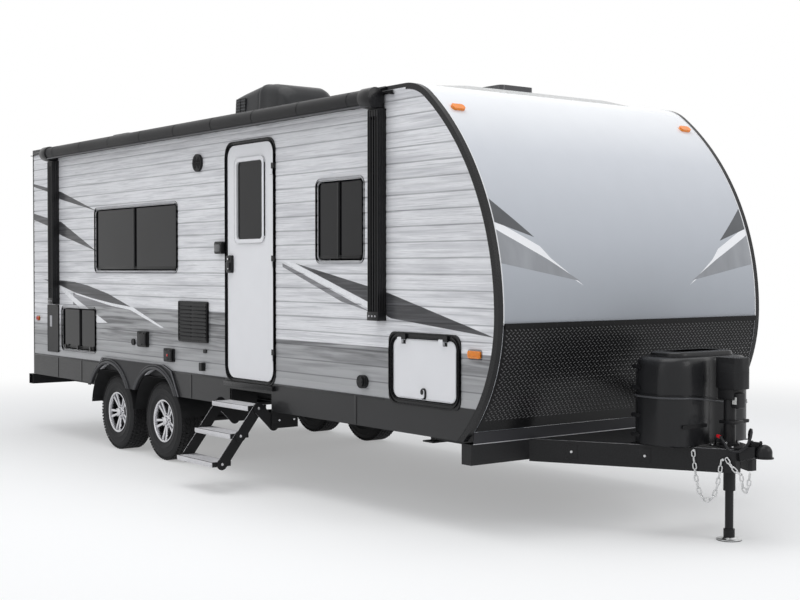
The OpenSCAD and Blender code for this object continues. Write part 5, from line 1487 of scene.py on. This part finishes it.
# Painted shade: dark strips set behind the louvre blades stand for the shade in the slots between them.
dark = bmesh.new()
for way in (-1, 1):
    for column in (-0.325, -0.240):
        for k in range(8):
            z = 0.072 + k * 0.0265
            if column < -0.3 and k > 7:
                continue
            verts = block(blades, (-0.036, -0.004, -0.0045), (0.036, 0.005, 0.0045))
            bmesh.ops.rotate(blades, verts=verts, cent=(0, 0, 0),
                matrix=Matrix.Rotation(way * math.radians(-32), 3, "X"))
            edge = UNIT_WIDE - 0.0135 - (0.0 if z < 0.24 else 0.002)
            bmesh.ops.translate(blades, verts=verts, vec=(UNIT.x + column, UNIT.y + way * edge, UNIT.z + z))
            block(dark, (UNIT.x + column - 0.036, UNIT.y + way * (edge - 0.004), UNIT.z + z + 0.005),
                  (UNIT.x + column + 0.036, UNIT.y + way * (edge + 0.0012), UNIT.z + z + 0.019))
for column in (-0.20, -0.07, 0.07, 0.20):
    for k in range(8):
        z = 0.068 + k * 0.0265
        verts = block(blades, (-0.005, -0.056, -0.0035), (0.004, 0.056, 0.0035))
        bmesh.ops.rotate(blades, verts=verts, cent=(0, 0, 0),
            matrix=Matrix.Rotation(math.radians(-30), 3, "Y"))
        bmesh.ops.translate(blades, verts=verts, vec=(UNIT.x - 0.392, UNIT.y + column, UNIT.z + z))
soften(blades, 0.0015, segments=1)
settle("roof_unit_louvres", blades, surface("louvre_plastic", (0.055, 0.057, 0.062), 0.32, grain=260,
    vary=0.2))
settle("roof_unit_slot_shade", dark, black_pockets_and_painted_shade)
screws = bmesh.new()
for x in (-0.30, 0.20):
    for way in (-1, 1):
        screw_head(screws, (UNIT.x + x, UNIT.y + way * (UNIT_WIDE - 0.001), UNIT.z + 0.022), (0, way, 0),
            0.008, 0.004)
settle("roof_unit_screws", screws, bright_alloy)

# ---------------------------------------------------------------- roof vents and roof fittings
# Square white flanges bedded in sealant, with domed smoke-grey lids hinged on their rear edges.

vent_white = surface("vent_white", (0.74, 0.74, 0.73), 0.45, grain=120, vary=0.06, bump=0.0004)
vent_smoke = surface("vent_smoke", (0.045, 0.047, 0.052), 0.22, grain=60, vary=0.2, coat=0.4)
dress(vent_white, "roof_vent_bases")
for place in ("front", "rear"):
    low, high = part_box(f"roof_vent_lid_{place}")
    middle = (low + high) / 2
    across, along = (high.y - low.y) / 2, (high.x - low.x) / 2
    tall = high.z - low.z
    dome = bmesh.new()
    hoops(dome, [[(middle.x + u * share, middle.y + v * share, low.z + lift) for u, v in
                  rounded_outline(2 * along - 0.004, 2 * across - 0.004, 0.045, 7)]
                 for share, lift in ((1.0, 0.006), (1.0, tall * 0.25), (0.985, tall * 0.55), (0.94,
                     tall * 0.80), (0.86, tall * 0.93),
                                     (0.72, tall * 0.985), (0.5, tall - 0.0005), (0.2, tall))])
    for u in (-0.5, 0.0, 0.5):
        verts = rod(dome, (middle.x - along * 0.62, middle.y + across * u, low.z + tall * 0.955),
                    (middle.x + along * 0.62, middle.y + across * u, low.z + tall * 0.955),
                    tall * 0.035 + 0.002, sides=10)
    lid = settle(f"roof_vent_dome_{place}", dome, vent_smoke, f"roof_vent_lid_{place}",
        crease=40)
    knuckles = bmesh.new()
    for u in (-0.6, 0.6):
        verts = block(knuckles, (low.x - 0.002, middle.y + across * u - 0.02, low.z + 0.002),
            (low.x + 0.030, middle.y + across * u + 0.02, low.z + 0.010))
        soften(knuckles, 0.002, verts=verts)
    settle(f"roof_vent_hinge_{place}", knuckles, bright_alloy, f"roof_vent_lid_{place}")
    flange = bmesh.new()
    base = rounded_outline(2 * across + 0.05, 2 * across + 0.05, 0.035, 6)
    hoops(flange, [[(middle.x + u, middle.y + v, roof_top + z) for u, v in base] for z in (0.0, 0.003)])
    for k in range(5):
        for way in (-1, 1):
            for u, v in ((-across + k * across / 2, way * (across + 0.016)),
                (way * (across + 0.016), -across + k * across / 2)):
                screw_head(flange, (middle.x + u, middle.y + v, roof_top + 0.003), (0, 0, 1), 0.006, 0.003)
    settle(f"roof_vent_flange_{place}", flange, vent_white)

# ---------------------------------------------------------------- gas bottle cover
# One shell of black moulded polyethylene over two bottles, drawn in at its waist, with a wavy moulded line
# round its middle shown as a lighter bead (painted highlight) under a dark line (painted shade), dark patches
# of painted shade for recessed hand grips and a slot low on its front, and a raised access lid on top.

shell_plastic = surface("moulded_cover", (0.013, 0.0132, 0.0145), 0.34, grain=340, vary=0.25, bump=0.0006,
    coat=0.1)
dress(shell_plastic, "gas_cover")
COVER_LOW, COVER_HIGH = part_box("gas_cover")
COVER = (COVER_LOW + COVER_HIGH) / 2
LID_H = 0.030
SHELL_TOP = COVER_HIGH.z - LID_H


def shell_outline(share, grow=0.0, steps=20):
    """The cover's outline, with its front and back drawn in between the two bottles."""
    points = []
    for u, v in rounded_outline(COVER_HIGH.x - COVER_LOW.x, COVER_HIGH.y - COVER_LOW.y, 0.150, steps):
        points.append((u, v))
    fine = []
    for (u0, v0), (u1, v1) in zip(points, points[1:] + points[:1]):
        parts = max(1, int(math.hypot(u1 - u0, v1 - v0) / 0.02))
        fine += [(u0 + (u1 - u0) * k / parts, v0 + (v1 - v0) * k / parts) for k in range(parts)]
    shaped = []
    for u, v in fine:
        waist = 0.030 * math.exp(-(v / 0.075) ** 2) * abs(u) / 0.2
        u -= math.copysign(waist, u)
        away = math.hypot(u, v)
        shaped.append((u * share + u / away * grow, v * share + v / away * grow))
    return shaped


shell = bmesh.new()
levels = [(0.000, 1.0, -0.006), (0.004, 1.0, -0.001), (0.200, 1.0, -0.001), (0.400, 0.995, -0.001),
    (0.470, 0.985, -0.001), (0.505, 0.965, -0.001),
          (0.520, 0.93, 0.0), (0.527, 0.88, 0.0), (SHELL_TOP - COVER_LOW.z, 0.80, 0.0),
          (SHELL_TOP - COVER_LOW.z + 0.0005, 0.4, 0.0)]
hoops(shell, [[(COVER.x + u, COVER.y + v, COVER_LOW.z + z) for u, v in shell_outline(share, grow)] for z,
    share, grow in levels])
outer = settle("gas_cover_shell", shell, shell_plastic, crease=45)
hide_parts("gas_cover")


def follow(shape, points, radius, sides=8, closed=True):
    """A round bead along a run of points."""
    count = len(points)
    rings = []
    for k, p in enumerate(points):
        ahead_of = Vector(points[(k + 1) % count] if closed or k + 1 < count else p)
        behind = Vector(points[k - 1] if closed or k else p)
        frame_q = (ahead_of - behind).to_track_quat("Z", "Y").to_matrix()
        rings.append([shape.verts.new(Vector(p) + frame_q @ Vector((radius * math.cos(2 * math.pi * n / sides), radius * math.sin(2 * math.pi * n / sides), 0)))
                      for n in range(sides)])
    pairs = list(zip(rings, rings[1:] + rings[:1])) if closed else list(zip(rings, rings[1:]))
    faces = []
    for a, b in pairs:
        gap_best = min(range(sides), key=lambda s: (a[0].co - b[s].co).length)
        for n in range(sides):
            faces.append(shape.faces.new((a[n], a[(n + 1) % sides], b[(n + 1 + gap_best) % sides],
                b[(n + gap_best) % sides])))
    if not closed:
        faces += [shape.faces.new(rings[0]), shape.faces.new(rings[-1])]
    bmesh.ops.recalc_face_normals(shape, faces=faces)


line = shell_outline(1.0, -0.001)
wave = [(COVER.x + u, COVER.y + v, COVER_LOW.z + 0.262 - 0.030 * math.sin(1.8 * v / 0.38)) for u, v in line]
# Painted highlight: a bead lighter than the black shell it is moulded in follows the wavy line.
bead = bmesh.new()
follow(bead, wave, 0.0065, 10)
settle("gas_cover_bead", bead, surface("cover_bead_highlight", (0.07, 0.071, 0.076), 0.3, grain=300, vary=0.2))
# Painted shade: a dark line along the top of the wavy line, and flat dark patches for the hand grips and the
# front slot.
recess_shade = bmesh.new()
follow(recess_shade, [(x, y, z + 0.0135) for x, y, z in wave], 0.0048, 8)
for way in (-1, 1):
    for z in (0.055, 0.175, 0.345, 0.470):
        spot = Vector((COVER.x - 0.115, COVER.y + way * (0.3795 if z < 0.40 else 0.3740), COVER_LOW.z + z))
        outline = rounded_outline(0.072, 0.026, 0.0129, 5)
        hoops(recess_shade, [[(spot.x + u * s, spot.y + way * d, spot.z + v * s) for u, v in outline] for s,
            d in ((1.0, -0.004), (1.0, 0.0008), (0.8, 0.0012))])
    outline = rounded_outline(0.22, 0.022, 0.0109, 5)
    hoops(recess_shade, [[(COVER_HIGH.x + d, COVER.y + way * 0.20 + v, COVER_LOW.z + 0.120 + w) for v,
        w in outline] for d in (-0.006, -0.0005)])
settle("gas_cover_recess_shade", recess_shade, black_pockets_and_painted_shade)
hatch = bmesh.new()
outline = rounded_outline(0.27, 0.56, 0.090, 8)
hoops(hatch, [[(COVER.x + u * s, COVER.y + v * s, SHELL_TOP + z) for u, v in outline] for s, z in
              ((1.03, -0.004), (1.03, 0.004), (1.0, 0.006), (0.99, LID_H - 0.008), (0.96, LID_H - 0.002),
                  (0.92, LID_H - 0.0005))])
hoops(hatch, [[(COVER.x + u * s * 0.55, COVER.y + v * s * 0.75, SHELL_TOP + LID_H - 0.001 + z) for u,
    v in outline] for s, z in ((1.0, -0.002), (0.97, 0.0005))])
settle("gas_cover_hatch", hatch, shell_plastic, crease=40)

# ---------------------------------------------------------------- drawbar, jack and coupler details
# The jack is a powder-coated steel tube through a bolted plate, under a moulded motor head; its foot and
# lower
# collar are zinc plated. Bolts are zinc, the cover's clamp plates and the coupler's latch are black steel.

jack_plastic = surface("jack_head_plastic", (0.013, 0.013, 0.014), 0.40, grain=320, vary=0.25, bump=0.0005)
zinc = surface("zinc_plate", (0.55, 0.555, 0.56), 0.32, metal=1.0, grain=90, vary=0.25, bump=0.0003)
dress(steel_paint, "jack_housing", "jack_leg")
JACK_X = -0.255
head = bmesh.new()
outline = rounded_outline(0.194, 0.124, 0.045, 8)
hoops(head, [[(-0.235 + u * s, v * s, z) for u, v in outline] for s, z in
             ((0.94, 0.366), (1.0, 0.374), (1.0, 0.470), (0.985, 0.510), (0.93, 0.538), (0.82, 0.5535),
                 (0.6, 0.5565))])
hoops(head, [[(-0.235 + u * 1.012, v * 1.015, z) for u, v in outline] for z in (0.462, 0.468)])
verts = block(head, (-0.306, -0.052, 0.300), (-0.190, 0.052, 0.372))
soften(head, 0.008, verts=verts, segments=3)
verts = block(head, (-0.215, -0.034, 0.250), (-0.165, 0.034, 0.345))
soften(head, 0.010, verts=verts, segments=3)
bore = bmesh.new()
rod(bore, (JACK_X, 0, -0.25), (JACK_X, 0, 0.367), 0.0362, sides=48)
head = carve(head, bore.copy(), "DIFFERENCE")
settle("jack_head", head, jack_plastic, crease=42)
patch = bmesh.new()
verts = block(patch, (-0.2095, -0.0355, 0.275), (-0.1765, -0.0338, 0.318))
soften(patch, 0.0005, verts=verts, segments=1)
settle("jack_plate_blank", patch, surface("blank_tag", (0.62, 0.62, 0.60), 0.4, grain=60, vary=0.15))
brace = bmesh.new()
rod(brace, (-0.196, 0.0, 0.020), (-0.196, 0.0, 0.305), 0.012, sides=24)
verts = block(brace, (-0.300, -0.045, 0.155), (-0.185, 0.045, 0.175))
soften(brace, 0.004, verts=verts)
verts = block(brace, (-0.330, -0.100, 0.0155), (-0.150, 0.100, 0.0235))
soften(brace, 0.003, verts=verts)
brace = carve(brace, bore, "DIFFERENCE")
settle("jack_brace", brace, steel_paint)
shine = bmesh.new()
for turn in (45, 165, 285):
    a = math.radians(turn)
    bolt = rod(shine, (JACK_X + 0.052 * math.cos(a), 0.052 * math.sin(a), 0.036),
        (JACK_X + 0.052 * math.cos(a), 0.052 * math.sin(a), 0.046), 0.0085, sides=6)
    soften(shine, 0.001, verts=bolt, segments=1)
for x, y in ((-0.165, 0.085), (-0.165, -0.085), (-0.315, 0.085), (-0.315, -0.085)):
    bolt = rod(shine, (x, y, 0.023), (x, y, 0.031), 0.0085, sides=6)
    soften(shine, 0.001, verts=bolt, segments=1)
settle("jack_bolts", shine, zinc)
foot = bmesh.new()
rod(foot, (JACK_X, 0, GROUND + 0.004), (JACK_X, 0, GROUND + 0.0095), 0.0765, sides=64)
rod(foot, (JACK_X, 0, GROUND + 0.008), (JACK_X, 0, GROUND + 0.068), 0.0335, sides=40)
rod(foot, (JACK_X, 0, GROUND + 0.008), (JACK_X, 0, GROUND + 0.020), 0.046, sides=40, radius_end=0.031)
soften(foot, 0.0015, angle=50)
settle("jack_foot_plate", foot, zinc, "jack_leg")

# Painted highlights as bright rods along the rails' edges and the crossbar, square clamp plates with one bolt,
# and the latch over the ball
edges = bmesh.new()
for way in (-1, 1):
    rod(edges, (-0.150, way * 0.093, 0.0140), (-1.22, way * 0.688, 0.0140), 0.0024, sides=8)
    rod(edges, (-0.150, way * 0.093, -0.1240), (-1.22, way * 0.688, -0.1240), 0.0020, sides=8)
rod(edges, (-1.2492, -1.18, 0.0155), (-1.2492, 1.18, 0.0155), 0.0026, sides=8)
settle("drawbar_edge_highlights", edges, edge_highlight_and_bolt_metal)
clamps = bmesh.new()
studs = bmesh.new()
for way in (-1, 1):
    out = Vector((0.4829, way * 0.8757, 0))
    for far in (0.56, 1.02):
        spot = Vector((-0.13, way * 0.062, -0.050)) + Vector((-1.18, way * 0.651,
            0)).normalized() * far + out * 0.0305
        plate = block(clamps, (-0.036, -0.003, -0.045), (0.036, 0.003, 0.045))
        turn = Matrix.Rotation(math.atan2(out.y, out.x) + math.pi / 2, 3, "Z")
        bmesh.ops.rotate(clamps, verts=plate, cent=(0, 0, 0), matrix=turn)
        bmesh.ops.translate(clamps, verts=plate, vec=spot)
        bolt = rod(studs, spot + out * 0.002, spot + out * 0.012, 0.009, sides=6)
        soften(studs, 0.001, verts=bolt, segments=1)
verts = block(clamps, (-0.098, -0.010, 0.050), (-0.020, 0.010, 0.062))
soften(clamps, 0.003, verts=verts)
verts = block(clamps, (-0.112, -0.016, 0.030), (-0.092, 0.016, 0.066))
soften(clamps, 0.003, verts=verts)
rod(clamps, (-0.026, 0, 0.046), (-0.026, 0, 0.070), 0.008, sides=16)
soften(clamps, 0.0015, angle=60)
settle("drawbar_clamps", clamps, steel_paint)
rod(studs, (-0.100, -0.020, 0.048), (-0.100, 0.020, 0.048), 0.005, sides=16)
rod(studs, (-0.100, -0.026, 0.048), (-0.100, -0.018, 0.048), 0.009, sides=20)
settle("drawbar_studs", studs, zinc)

# ---------------------------------------------------------------- safety chains
# Zinc-plated 7 mm welded chain, bolted to the drawbar's side and looped up to the coupler. It hangs in the
# curve that its own length and weight give it, its links turned a quarter round from one to the next.

LINK_BAR, LINK_LONG, LINK_WIDE = 0.0045, 0.0460, 0.0290
LINK_PITCH = LINK_LONG - 2 * LINK_BAR


def hanging(start, end, length, step):
    """Points a step apart along a chain of the given length hung between two points."""
    start, end = Vector(start), Vector(end)
    flat = Vector((end.x - start.x, end.y - start.y, 0))
    across, drop = flat.length, end.z - start.z
    target = math.sqrt(max(length ** 2 - drop ** 2, across ** 2 * 1.0001))
    low_a, high_a = across / 60, 50.0
    for _ in range(60):
        a = math.sqrt(low_a * high_a)
        if 2 * a * math.sinh(across / (2 * a)) > target:
            low_a = a
        else:
            high_a = a
    middle = across / 2 - a * math.asinh(drop / (2 * a * math.sinh(across / (2 * a))))
    base = start.z - a * math.cosh(middle / a)
    spots = []
    count = max(2, int(round(length / step)))
    first = a * math.sinh(-middle / a)
    for k in range(count + 1):
        s = middle + a * math.asinh((first + length * k / count) / a)
        spots.append(start + flat * (s / across) + Vector((0, 0,
            base + a * math.cosh((s - middle) / a) - start.z)))
    return spots


link = bmesh.new()
path = []
for k in range(24):
    turn = 2 * math.pi * k / 24
    reach = (LINK_WIDE - 2 * LINK_BAR) / 2
    straight = (LINK_LONG - LINK_WIDE) / 2
    path.append((reach * math.cos(turn), 0,
        reach * math.sin(turn) + math.copysign(straight, math.sin(turn) + 1e-9)))
follow(link, path, LINK_BAR, 8)
chain = bmesh.new()
for start, end, length in (((-0.345, -0.226, 0.000), (-0.195, -0.150, -0.045), 0.60),
                           ((-0.172, -0.135, -0.035), (-0.078, -0.112, -0.125), 0.135),
                           ((-0.078, -0.112, -0.125), (-0.030, -0.095, -0.110), 0.235)):
    spots = hanging(start, end, length, LINK_PITCH)
    for k, (a, b) in enumerate(zip(spots, spots[1:])):
        copy = link.copy()
        turn = (b - a).to_track_quat("Z", "X").to_matrix().to_4x4()
        bmesh.ops.transform(copy, verts=copy.verts,
            matrix=Matrix.Translation((a + b) / 2) @ turn @ Matrix.Rotation(math.pi / 2 * (k % 2), 4, "Z"))
        spare = bpy.data.meshes.new("link")
        copy.to_mesh(spare)
        copy.free()
        chain.from_mesh(spare)
        bpy.data.meshes.remove(spare)
link.free()
for spot in ((-0.345, -0.212, 0.002), (-0.195, -0.129, -0.045)):
    rod(chain, spot, Vector(spot) + Vector((0.011, -0.022, 0)), 0.008, sides=6)
settle("safety_chains", chain, zinc, crease=50)
